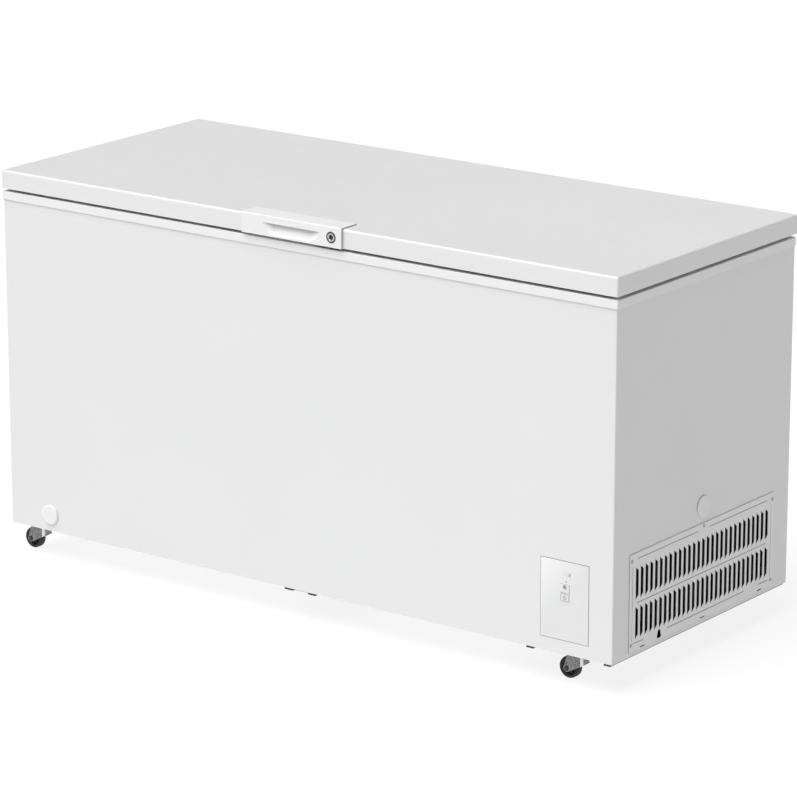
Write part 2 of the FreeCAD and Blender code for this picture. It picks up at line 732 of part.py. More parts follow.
def drain_cap():
    """Domed pull-out cap with a stem that fills the drain mouth."""
    stem_r = D.drain_bore_r - D.fit_gap
    return turned("drain_knob", [
        (0, 0), (D.cap_r - 4, 0), (D.cap_r - 1, 1), (D.cap_r, 2.4), (D.cap_r, 3.8),
        (stem_r, 3.8), (stem_r, 28), (stem_r - 2, 30), (0, 30)],
        "y", (D.drain_x, -half_d - 4.1, D.drain_z))


def side_port_plug():
    """Round plug whose thin disc stands off the side sheet on a narrower neck."""
    stem_r = D.port_r - D.fit_gap
    return turned("port_disc", [
        (0, -1), (stem_r, -1), (stem_r, 0), (D.port_neck_r, 0), (D.port_neck_r, 1.3),
        (D.cap_r, 1.3), (D.cap_r, 1.9), (D.cap_r - 1.2, 2.6), (0, 2.6)],
        "x", (half_w, D.port_y, D.port_z))


# ---------------------------------------------------------------- control panel
def panel_bezel():
    """Tray behind the front sheet that holds the fascia and the board."""
    half_pw = D.panel_width / 2
    half_ph = D.panel_height / 2
    back = -half_d + skin
    rim = block("bezel_rim", (D.panel_x - half_pw - 5, D.panel_x + half_pw + 5),
                (back, back + 2), (D.panel_z - half_ph - 5, D.panel_z + half_ph + 5))
    tray = block("bezel_tray", (D.panel_x - half_pw + 2, D.panel_x + half_pw - 2),
                 (back, back + 20), (D.panel_z - half_ph + 2, D.panel_z + half_ph - 2))
    space = block("bezel_space", (D.panel_x - half_pw + 4, D.panel_x + half_pw - 4),
                  (back - 1, back + 18), (D.panel_z - half_ph + 4, D.panel_z + half_ph - 4))
    return cut("bezel", join("bezel_body", [rim, tray]), [space])


def button_window(name, z):
    wide = D.button_width / 2 + D.button_gap
    high = D.button_height / 2 + D.button_gap
    return block(name, (D.button_x - wide, D.button_x + wide), (-half_d - 3, -half_d + 5),
                 (z - high, z + high))


button_high = D.button_z + D.button_pitch / 2
button_low = D.button_z - D.button_pitch / 2


def panel_fascia():
    half_pw = D.panel_width / 2 - D.panel_gap
    half_ph = D.panel_height / 2 - D.panel_gap
    plate = block("fascia_plate", (D.panel_x - half_pw, D.panel_x + half_pw),
                  (-half_d - 0.4, -half_d + skin), (D.panel_z - half_ph, D.panel_z + half_ph))
    lamp = rod("fascia_lamp_hole", "y", 1.6, (D.button_x + 3, -half_d - 3, button_high + 15), 8)
    return cut("fascia", plate, [button_window("fascia_window_high", button_high),
                                 button_window("fascia_window_low", button_low), lamp])


def button(name, z):
    cap = block(name + "_block",
                (D.button_x - D.button_width / 2, D.button_x + D.button_width / 2),
                (-half_d - 1.2, -half_d + 4.2),
                (z - D.button_height / 2, z + D.button_height / 2))
    return rounded(name + "_cap", cap, 2.5,
                   lambda low, high: abs(low.x - high.x) < 0.01 and abs(low.z - high.z) < 0.01)


def control_board():
    """Circuit board with two switches and the status lamp."""
    plate_y = -half_d + 7.5
    plate = block("board_plate", (D.panel_x - 50, D.panel_x + 50), (plate_y, plate_y + 1.6),
                  (D.panel_z - 60, D.panel_z + 70))
    switches = [
        block("board_switch_%d" % place, (D.button_x - 3, D.button_x + 3),
              (plate_y - 2, plate_y), (z - 3, z + 3))
        for place, z in enumerate((button_high, button_low))
    ]
    lamp = rod("board_lamp", "y", 1.5, (D.button_x + 3, -half_d, button_high + 15), 7.6)
    chip = block("board_relay", (D.panel_x - 20, D.panel_x + 5), (plate_y + 1.6, plate_y + 8),
                 (D.panel_z - 45, D.panel_z - 15))
    return join("board", [plate, lamp, chip] + switches)


# ---------------------------------------------------------------- air grille
def ring_of(points):
    """A closed outline in the plane across X."""
    return Part.makePolygon([FreeCAD.Vector(0, y, z) for y, z in points + points[:1]])


def rectangle(y_low, y_high, z_low, z_high):
    return ring_of([(y_low, z_low), (y_high, z_low), (y_high, z_high), (y_low, z_high)])


def grille_slots():
    """Outlines of the rows of slots, each one slanted at its two ends."""
    pitch = number(D.slot_pitch)
    width = number(D.slot_width)
    height = number(D.slot_height)
    slant = number(D.slot_slant)
    start = -(SLOT_COLUMNS - 1) / 2 * pitch - width / 2
    slots = []
    for low in SLOT_ROWS:
        for column in range(SLOT_COLUMNS):
            y = start + pitch * column
            slots.append(ring_of([(y, low), (y + width, low + slant),
                                  (y + width, low + height - slant), (y, low + height)]))
    return slots


def grille_grooves(half_gw, half_gh):
    """Cutters for the fine lines pressed into the grille's face."""
    line = number(D.groove_width) / 2
    t = number(D.grille_t)
    deep = t - number(D.groove_depth)

    def level(y_low, y_high, z):
        return solid_box((deep, t + 1), (y_low, y_high), (z - line, z + line))

    def tall(y, z_low, z_high):
        return solid_box((deep, t + 1), (y - line, y + line), (z_low, z_high))

    side = half_gw - 10.5
    top = half_gh - 13.5
    foot = -half_gh + 17
    middle = (SLOT_ROWS[0] + SLOT_ROWS[1] + number(D.slot_height)) / 2
    return [
        level(-side + 18, -22, top), level(22, side - 18, top),
        level(-side + 18, side - 18, middle),
        level(-side + 2, -side + 43, foot), level(-side + 132, side - 103, foot),
        level(side - 47, side - 6, foot),
        tall(-side, foot + 5, top - 13), tall(side, foot + 5, top - 13),
    ]


def air_grille():
    """Flat cover with two rows of slots, clip slots, a keyhole, grooves and screw pockets."""
    half_gw = number(D.grille_width) / 2
    half_gh = number(D.grille_height) / 2
    t = number(D.grille_t)
    holes = grille_slots()
    clip_z = -half_gh + number(D.clip_rise)
    holes += [rectangle(y - 9, y + 9, clip_z - 1.2, clip_z + 1.2) for y in CLIPS]
    key_z = -half_gh + 3.5
    holes.append(ring_of([
        (KEYHOLE - 7.5, key_z), (KEYHOLE + 7.5, key_z), (KEYHOLE + 7.5, key_z + 5),
        (KEYHOLE + 4, key_z + 18), (KEYHOLE - 4, key_z + 18), (KEYHOLE - 7.5, key_z + 5)]))
    rim = rectangle(-half_gw, half_gw, -half_gh, half_gh)
    plate = Part.makeFace([rim] + holes, "Part::FaceMakerBullseye")
    plate = plate.extrude(FreeCAD.Vector(t, 0, 0))
    pockets = [
        Part.makeCylinder(4.2, 3, FreeCAD.Vector(t - 1.0, number(y), number(z)),
                          FreeCAD.Vector(1, 0, 0))
        for y, z in grille_screw_spots()
    ]
    plate = plate.cut(Part.Compound(grille_grooves(half_gw, half_gh)))
    plate = plate.cut(Part.Compound(pockets))
    return feature("air_grille", plate, (half_w, D.grille_y, D.grille_z))


# ---------------------------------------------------------------- casters
CASTERS = {
    "front_right": (D.caster_right_x, -D.caster_y), "front_left": (D.caster_left_x, -D.caster_y),
    "rear_right": (D.caster_right_x, D.caster_y), "rear_left": (D.caster_left_x, D.caster_y),
}
race_low = base_z - D.race_drop
fork_top = race_low - D.running_gap


def caster_plate(corner, x, y):
    """Mounting plate with the swivel race and its bore."""
    half = D.plate_size / 2
    plate = block("plate_" + corner, (x - half, x + half), (y - half, y + half),
                  (base_z - D.plate_t, base_z))
    race = rod("race_" + corner, "z", D.race_r, (x, y, race_low), base_z - race_low)
    bore = rod("bore_" + corner, "z", D.kingpin_r + D.fit_gap, (x, y, race_low - 1),
               base_z - race_low - 0.5)
    return cut("swivel_" + corner, join("head_" + corner, [plate, race]), [bore])


def caster_fork(corner, x, y):
    """Stamped fork: two legs, one closed side with rounded bends, and the kingpin."""
    trail = D.caster_trail
    eye = D.wheel_r
    crown = fork_top - D.fork_crown
    nose = D.fork_nose
    sides = prism("fork_side_" + corner, "XZ_Plane",
                  [(-trail - 8, eye), (-trail - 6.5, eye - 4.7), (-trail + 2, eye - 7.7),
                   (nose, eye + 12), (nose, crown), (-nose - 2, crown),
                   (-trail - 7.5, eye + 3)],
                  D.fork_half * 2, (x, y, 0))
    bend_x = number(x + nose) - 3
    sides = rounded("fork_bends_" + corner, sides, D.fork_bend,
                    lambda low, high: upright(low, high) and low.x > bend_x)
    eye_boss = rod("fork_eye_" + corner, "y", D.fork_eye_r, (x - trail, y - D.fork_half, eye),
                   D.fork_half * 2)
    space = block("fork_space_" + corner, (x - 60, x + nose - D.fork_t),
                  (y - D.fork_half + D.fork_t, y + D.fork_half - D.fork_t),
                  (0, crown - 2.5))
    space = rounded("fork_space_bends_" + corner, space, D.fork_bend - D.fork_t,
                    lambda low, high: upright(low, high) and low.x > bend_x)
    hole = rod("fork_hole_" + corner, "y", D.axle_r, (x - trail, y - 20, eye), 40)
    cup = rod("fork_cup_" + corner, "z", D.fork_half - 0.5, (x, y, crown - 1), fork_top - crown + 1)
    pin = rod("fork_pin_" + corner, "z", D.kingpin_r, (x, y, crown), base_z - 2.8 - crown)
    shell = cut("fork_legs_" + corner, join("fork_blank_" + corner, [sides, eye_boss]),
                [space, hole])
    return join("fork_" + corner, [shell, cup, pin])


def caster_axle(corner, x, y):
    """Bolt through the fork's eyes, with a head on each side."""
    trail = D.caster_trail
    eye = D.wheel_r
    head = D.fork_half
    shank = rod("axle_shank_" + corner, "y", D.axle_r, (x - trail, y - head, eye), head * 2)
    front = rod("axle_front_" + corner, "y", D.bolt_head_r,
                (x - trail, y - head - D.bolt_head_t, eye), D.bolt_head_t)
    back = rod("axle_back_" + corner, "y", D.bolt_head_r, (x - trail, y + head, eye),
               D.bolt_head_t)
    return join("axle_" + corner, [shank, front, back])


def caster_wheel(corner, x, y):
    """Solid wheel with a raised hub, a dished web and a rounded tread."""
    half = D.wheel_width / 2
    hub = D.fork_half - D.fork_t - 0.5
    bore = D.axle_r + D.fit_gap
    rim = D.wheel_r
    points = [(bore, -hub), (8, -hub), (9, -half + 2), (rim - 7, -half + 2),
              (rim - 6, -half), (rim - 3, -half), (rim - 0.8, -half + 1.2), (rim, -half + 3.5),
              (rim, half - 3.5), (rim - 0.8, half - 1.2), (rim - 3, half), (rim - 6, half),
              (rim - 7, half - 2), (9, half - 2), (8, hub), (bore, hub)]
    return turned("wheel_" + corner, points, "y", (x - D.caster_trail, y, D.wheel_r))


# ---------------------------------------------------------------- lid
def lid_block(name, shrink, low, top):
    """The lid's outer form, drawn in by shrink, with rounded top edges and corners."""
    form = block(name, (-lid_half + shrink, lid_half - shrink),
                 (lid_front + shrink, lid_rear - shrink), (low, top))
    form = rounded(name + "_corner", form, number(D.lid_corner) - number(shrink) * 0.9, upright)
    return rounded(name + "_edge", form, number(D.lid_round) - number(shrink) * 0.9,
                   level_at(number(top)))


def handle_window(name, grow):
    return block(name, (-D.scoop_half - 4 - grow, D.scoop_half + 4 + grow),
                 (lid_front - 1, handle_front + D.pocket_back + grow),
                 (lid_low + 3.6 - grow, lid_low + D.scoop_top + 3 + grow))


def cap_seat(name):
    """The shallow step in the lid's top that the handle's cap lies in."""
    return block(name, (-D.handle_half, D.handle_half),
                 (lid_front - 1, handle_front + D.handle_reach), (lid_top - D.cap_seat, lid_top + 1))


def lid_skin():
    outside = lid_block("lid_out", 0, lid_low, lid_top)
    inside = lid_block("lid_in", skin, lid_low + skin, lid_top - skin)
    mouth = block("lid_mouth", (-lid_half + D.lid_hem, lid_half - D.lid_hem),
                  (lid_front + D.lid_hem, lid_rear - D.lid_hem), (lid_low - 1, lid_low + 3))
    window = block("lid_window", (-D.scoop_half - 4.2, D.scoop_half + 4.2),
                   (lid_front - 1, lid_front + 3), (lid_low + 3.4, lid_low + D.scoop_top + 3.2))
    lock = rod("lid_lock_hole", "y", D.lock_body_r + 0.2, (D.lock_x, lid_front - 2, lock_z), 5)
    slit = block("lid_cam_slit", keeper_slot_x, (cam_y - 1.5, cam_y + 3.5),
                 (lid_low - 1, lid_low + 2))
    seat = cap_seat("lid_cap_seat")
    return cut("lid_sheet", outside, [inside, mouth, window, lock, slit, seat])


def lid_foam():
    bulk = lid_block("lid_fill", skin, lid_low + skin, lid_top - skin)
    core = block("lid_fill_core", (-lid_half + D.lid_hem, lid_half - D.lid_hem),
                 (lid_front + D.lid_hem, lid_rear - D.lid_hem), (lid_low, lid_low + 3))
    window = handle_window("lid_fill_window", 0.2)
    pocket = block("lid_fill_pocket", (D.lock_x - 43, D.lock_x + 21), (lid_front, lid_front + 15),
                   (lid_low - 1, lid_low + 36))
    return cut("lid_filling", join("lid_fill_body", [bulk, core]), [window, pocket])


def lid_liner():
    """Inner lid panel, a flat sheet under the skin's hem."""
    inset = 12.0
    plate = block("lid_panel", (-lid_half + inset, lid_half - inset),
                  (lid_front + inset, lid_rear - inset), (lid_low - D.liner_t, lid_low))
    return rounded("lid_panel_round", plate, 6.0, upright)


def lid_gasket():
    """Magnetic seal ring with a hollow bulb."""
    top = lid_low - D.liner_t
    low = trim_top + D.running_gap
    out_x = half_w - D.gasket_inset
    out_y = half_d - D.gasket_inset
    wide = D.gasket_width
    outer = block("seal_outer", (-out_x, out_x), (-out_y, out_y), (low, top))
    inner = block("seal_inner", (-out_x + wide, out_x - wide), (-out_y + wide, out_y - wide),
                  (low - 1, top + 1))
    outer = rounded("seal_outer_round", outer, 12.0, upright)
    inner = rounded("seal_inner_round", inner, 4.0, upright)
    return cut("seal_ring", outer, [inner])


def lid_handle():
    """Handle moulding: face plate, cap over the lid's edge, and a finger scoop with ramped ends."""
    half = D.handle_half
    face = block("handle_face", (-half, half), (handle_front, lid_front),
                 (lid_low - D.handle_lip, lid_top + D.handle_cap))
    cap = block("handle_cap", (-half, half), (handle_front, handle_front + D.handle_reach),
                (lid_top - D.cap_seat, lid_top + D.handle_cap))
    housing = block("handle_housing", (-D.scoop_half - 4, D.scoop_half + 4),
                    (lid_front - 1, handle_front + D.pocket_back),
                    (lid_low + 3.6, lid_low + D.scoop_top + 3))
    corner = block("handle_corner", (-half, half), (lid_front, lid_front + D.lid_round),
                   (lid_top - D.lid_round, lid_top))
    body = join("handle_body", [face, cap, corner, housing])
    lid = lid_block("handle_lid", 0, lid_low, lid_top)
    keep = handle_window("handle_keep", 0)
    body = cut("handle_fitted", body,
               [cut("handle_lid_cut", lid, [keep, cap_seat("handle_cap_seat")])])
    scoop_z = lid_low + D.scoop_top
    brim = D.scoop_radius - D.scoop_depth
    straight = D.scoop_half - D.scoop_ramp
    drum = turned("scoop_drum", [
        (0, -D.scoop_half), (brim, -D.scoop_half), (D.scoop_radius, -straight),
        (D.scoop_radius, straight), (brim, D.scoop_half), (0, D.scoop_half)],
        "x", (0, handle_front - brim, scoop_z))
    below = block("scoop_below", (-half, half), (handle_front - 20, lid_front + 30),
                  (lid_low - 20, scoop_z))
    scoop = doc.addObject("Part::Common", "scoop")
    scoop.Base = drum
    scoop.Tool = below
    ring = rod("handle_lock_bore", "y", D.lock_body_r, (D.lock_x, handle_front - 1, lock_z), 9)
    body = cut("handle_cut", body, [scoop, ring])
    edge = number(handle_front + D.plan_shift)
    return rounded("handle_round", body, 2.6,
                   lambda low, high: abs(low.y - edge) < 0.01 and abs(high.y - edge) < 0.01
                   and abs(low.x - high.x) > 200 and low.z > number(lid_top))


def lock_bezel():
    bore = D.lock_plug_r + D.fit_gap
    return turned("lock_ring", [
        (bore, 0), (D.lock_ring_r - 0.8, 0), (D.lock_ring_r, 0.7), (D.lock_ring_r, 1),
        (D.lock_body_r, 1), (D.lock_body_r, 10), (bore, 10)],
        "y", (D.lock_x, handle_front - 1, lock_z))


def lock_cylinder():
    plug = rod("lock_plug", "y", D.lock_plug_r, (D.lock_x, handle_front - 0.8, lock_z), 12.8)
    slot = block("lock_keyway", (D.lock_x - 1.2, D.lock_x + 1.2),
                 (handle_front - 2, handle_front + 5), (lock_z - 4, lock_z + 4))
    return cut("lock_barrel", plug, [slot])


def lock_cam():
    """Flat tongue on the back of the lock plug, stowed level and turned down to lock."""
    half = D.cam_width / 2
    arm = block("cam_arm", (D.lock_x - D.cam_reach + half, D.lock_x), (cam_y, cam_y + D.cam_t),
                (lock_z - half, lock_z + half))
    tip = rod("cam_tip", "y", half, (D.lock_x - D.cam_reach + half, cam_y, lock_z), D.cam_t)
    hub = rod("cam_hub", "y", D.lock_plug_r, (D.lock_x, cam_y, lock_z), D.cam_t)
    return join("cam", [arm, tip, hub])


# ---------------------------------------------------------------- hinges
def both_hinges(name, make):
    """The same piece at the left and at the right hinge."""
    return group(name, [make("%s_%s" % (name, side), D.hinge_x * sign)
                        for side, sign in (("left", -1), ("right", 1))])


def span(x, low, high):
    return (x + low, x + high)


def cabinet_leaf(name, x):
    plate = block(name + "_plate", span(x, -D.leaf_half, D.leaf_half),
                  (half_d, half_d + D.leaf_t), (trim_low - 125, trim_low - 0.5))
    shelf = block(name + "_shelf", span(x, -D.leaf_half, D.leaf_half),
                  (half_d, axis_y + D.knuckle_r), (trim_low - 3, trim_low - 0.5))
    pieces = [plate, shelf]
    bores = []
    for side, low, high in (("a", -D.leaf_half, -D.lug_inner), ("b", D.lug_inner, D.leaf_half)):
        pieces.append(block("%s_lug_%s" % (name, side), span(x, low, high),
                            (axis_y - D.knuckle_r, axis_y + D.knuckle_r),
                            (trim_low - 3, axis_z)))
        pieces.append(rod("%s_knuckle_%s" % (name, side), "x", D.knuckle_r,
                          (x + low, axis_y, axis_z), high - low))
    bores.append(rod(name + "_bore", "x", D.pin_r, (x - 50, axis_y, axis_z), 100))
    for place, (dx, dz) in enumerate(((-25, -100), (25, -100), (-25, -40), (25, -40))):
        bores.append(rod("%s_screw_hole_%d" % (name, place), "y", 3,
                         (x + dx, half_d - 1, trim_low + dz), 6))
    return cut(name, join(name + "_body", pieces), bores)


def lid_leaf(name, x):
    rear = (lid_rear, lid_rear + 2)
    wide = block(name + "_wide", span(x, -D.leaf_half, D.leaf_half), rear,
                 (axis_z + 10, lid_top - 5))
    pieces = [wide]
    for side, low, high in (("a", -D.tab_outer, -D.tab_inner), ("b", D.tab_inner, D.tab_outer)):
        pieces.append(block("%s_tab_%s" % (name, side), span(x, low, high), rear,
                            (axis_z, axis_z + 12)))
        pieces.append(rod("%s_knuckle_%s" % (name, side), "x", D.knuckle_r,
                          (x + low, axis_y, axis_z), high - low))
    bore = rod(name + "_bore", "x", D.pin_r + D.fit_gap, (x - 50, axis_y, axis_z), 100)
    return cut(name, join(name + "_body", pieces), [bore])


def hinge_pin(name, x):
    return rod(name, "x", D.pin_r, (x - D.leaf_half - 2, axis_y, axis_z), D.leaf_half * 2 + 4)


def hinge_spring(name, x):
    """Torsion spring round the pin, with one leg up the lid leaf and one down to the shelf."""
    wire = number(D.spring_wire_r)
    coil = number(D.spring_coil_r)
    pitch = 2 * wire + 0.1
    turns = 10
    length = pitch * turns
    down = number(axis_z - trim_low) + 0.2
    helix = Part.makeHelix(pitch, length, coil)
    ring = Part.Wire(Part.makeCircle(wire, FreeCAD.Vector(coil, 0, 0), FreeCAD.Vector(0, 1, 0)))
    body = Part.Wire(helix).makePipeShell([ring], True, True)
    leg_up = Part.makeCylinder(wire, 22, FreeCAD.Vector(coil, 0, 0), FreeCAD.Vector(0, -1, 0))
    leg_down = Part.makeCylinder(wire, down, FreeCAD.Vector(coil, 0, length),
                                 FreeCAD.Vector(0, 1, 0))
    item = feature(name, body.multiFuse([leg_up, leg_down]))
    item.Placement.Rotation = (FreeCAD.Rotation(FreeCAD.Vector(0, 1, 0), 90)
                               * FreeCAD.Rotation(FreeCAD.Vector(0, 0, 1), -90))
    return put(item, (x - length / 2, axis_y, axis_z))


# ---------------------------------------------------------------- basket
def grid_sheet(width, height, pitch, wire):
    """A flat wire grid lying in the XZ plane, width by height, one wire thick."""
    columns = max(1, round((width - wire) / pitch))
    rows = max(1, round((height - wire) / pitch))
    step_x_size = (width - wire) / columns
    step_z_size = (height - wire) / rows

    def loop(x_low, x_high, z_low, z_high):
        corners = [(x_low, z_low), (x_high, z_low), (x_high, z_high), (x_low, z_high)]
        return Part.makePolygon([FreeCAD.Vector(x, 0, z) for x, z in corners + corners[:1]])

    holes = [
        loop(step_x_size * i + wire, step_x_size * (i + 1), step_z_size * j + wire,
             step_z_size * (j + 1))
        for i in range(columns) for j in range(rows)
    ]
    face = Part.makeFace([loop(0, width, 0, height)] + holes, "Part::FaceMakerBullseye")
    return face.extrude(FreeCAD.Vector(0, wire, 0))


def basket_pieces():
    """Side grids with their hanging rails, end grids and the bottom grid."""
    wire = number(D.wire_t)
    pitch = number(D.mesh_pitch)
    long = number(D.basket_length)
    deep = number(D.basket_half) * 2
    low = number(D.basket_top - D.basket_drop)
    top = number(D.basket_top)
    hang = number(ledge_top + D.running_gap)
    sides = []
    for sign in (-1, 1):
        grid = grid_sheet(long, hang + wire - low, pitch, wire)
        y = deep / 2 - wire if sign > 0 else -deep / 2
        grid.translate(FreeCAD.Vector(0, y, low))
        reach = (deep / 2, deep / 2 + 14) if sign > 0 else (-deep / 2 - 14, -deep / 2)
        rail = solid_box((0, long), reach, (hang, hang + wire))
        sides.append(grid.fuse(rail))
    ends = []
    for x in (0, long - wire):
        grid = grid_sheet(deep - 2 * wire, top - low, pitch, wire)
        grid.rotate(FreeCAD.Vector(0, 0, 0), FreeCAD.Vector(0, 0, 1), 90)
        grid.translate(FreeCAD.Vector(x + wire, -deep / 2 + wire, low))
        ends.append(grid)
    floor_grid = grid_sheet(long - 2 * wire, deep - 2 * wire, pitch, wire)
    floor_grid.rotate(FreeCAD.Vector(0, 0, 0), FreeCAD.Vector(1, 0, 0), -90)
    floor_grid.translate(FreeCAD.Vector(wire, -deep / 2 + wire, low + wire))
    spot = (D.basket_left, 0, 0)
    return (feature("basket_sides", Part.Compound(sides), spot),
            feature("basket_ends", Part.Compound(ends), spot),
            feature("basket_floor", Part.Compound([floor_grid]), spot))


# ---------------------------------------------------------------- assembly
liner_space = cavity_block("liner_space", skin, shell_top + 20)
node("outer_shell", outer_shell())
node("back_panel", back_panel())
node("base_panel", block("base_sheet", (-half_w + skin, bay_left), (-half_d + skin, half_d - skin),
                         (base_z, base_z + skin)))
node("base_rail", base_rail())
node("cabinet_foam", cabinet_foam(liner_space))
node("inner_liner", inner_liner(liner_space))
node("top_trim", top_trim())
node("lock_keeper", lock_keeper())
node("compressor_tray", compressor_tray())
node("bay_partition", bay_partition())
node("compressor", compressor())
node("compressor_grommets", grommets())
node("terminal_box", terminal_box())
node("condenser_coil", condenser())
node("fan_shroud", fan_shroud())
node("fan_motor", fan_motor())
node("condenser_fan", fan_wheel())
node("evaporator_tube", evaporator())
node("refrigerant_pipes", pipes())
node("filter_drier", filter_drier())
node("rear_cover", bay_cover())
node("cord_gland", cord_gland())
node("cover_screws", cover_screws())
node("drain_tube", drain_tube())
node("drain_cap", drain_cap())
node("side_port_plug", side_port_plug())
node("panel_bezel", panel_bezel())
node("panel_fascia", panel_fascia())
node("mode_button", button("mode_button", button_high))
node("power_button", button("power_button", button_low))
node("control_board", control_board())
node("side_grille", air_grille())
node("caster_plates", group("caster_plate_set", [
    caster_plate(corner, x, y) for corner, (x, y) in CASTERS.items()]))
for corner, (x, y) in CASTERS.items():
    node("caster_fork_" + corner, caster_fork(corner, x, y))
    node("caster_axle_" + corner, caster_axle(corner, x, y))
    node("caster_wheel_" + corner, caster_wheel(corner, x, y))
node("lid_skin", lid_skin())
node("lid_foam", lid_foam())
node("lid_liner", lid_liner())
node("lid_gasket", lid_gasket())
node("lid_handle", lid_handle())
node("lock_bezel", lock_bezel())
node("lock_cylinder", lock_cylinder())
node("lock_cam", lock_cam())
node("hinge_cabinet_leaves", both_hinges("cabinet_leaf", cabinet_leaf))
node("hinge_lid_leaves", both_hinges("lid_leaf", lid_leaf))
node("hinge_pins", both_hinges("hinge_pin", hinge_pin))
node("hinge_springs", both_hinges("hinge_spring", hinge_spring))
for label, piece in zip(("basket_side_grids", "basket_end_grids", "basket_floor_grid"),
                        basket_pieces()):
    node(label, piece)

doc.recompute()
faults = [item.Name for item in doc.Objects
          if any(word in item.State for word in ("Invalid", "Error"))]
for label, item in NODES:
    shape = item.Shape
    if shape.isNull() or not shape.isValid() or not shape.Solids:
        faults.append("shape of " + label)
if faults:
    raise RuntimeError("failed: " + ", ".join(faults))
for label, item in NODES:
    item.Shape.exportStep("parts/%s.step" % label)
    box = item.Shape.BoundBox
    print("%-26s solids %2d  x %8.1f %8.1f  y %8.1f %8.1f  z %7.1f %7.1f" % (
        label, len(item.Shape.Solids), box.XMin, box.XMax, box.YMin, box.YMax, box.ZMin, box.ZMax))
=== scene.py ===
"""Looks of the chest freezer: finishes for every CAD node, and detailed pieces built round them."""

import json
import math

import bmesh
import bpy
from mathutils import Matrix, Vector


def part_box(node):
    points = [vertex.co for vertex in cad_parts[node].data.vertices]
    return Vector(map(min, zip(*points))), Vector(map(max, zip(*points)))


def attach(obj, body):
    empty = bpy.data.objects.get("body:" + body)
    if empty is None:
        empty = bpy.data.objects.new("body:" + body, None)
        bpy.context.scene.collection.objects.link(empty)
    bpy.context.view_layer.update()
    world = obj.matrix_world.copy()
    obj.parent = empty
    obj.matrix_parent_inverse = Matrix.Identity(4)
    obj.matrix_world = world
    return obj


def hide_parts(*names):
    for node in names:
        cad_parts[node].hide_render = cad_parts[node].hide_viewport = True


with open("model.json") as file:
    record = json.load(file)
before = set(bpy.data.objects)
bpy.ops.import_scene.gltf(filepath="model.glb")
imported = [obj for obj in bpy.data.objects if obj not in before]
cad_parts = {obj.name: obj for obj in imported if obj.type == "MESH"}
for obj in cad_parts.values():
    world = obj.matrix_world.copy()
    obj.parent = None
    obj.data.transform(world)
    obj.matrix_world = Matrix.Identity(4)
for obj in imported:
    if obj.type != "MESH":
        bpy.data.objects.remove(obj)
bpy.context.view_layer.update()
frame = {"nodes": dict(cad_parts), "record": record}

MM = 0.001
CORNERS = ("front_right", "front_left", "rear_right", "rear_left")


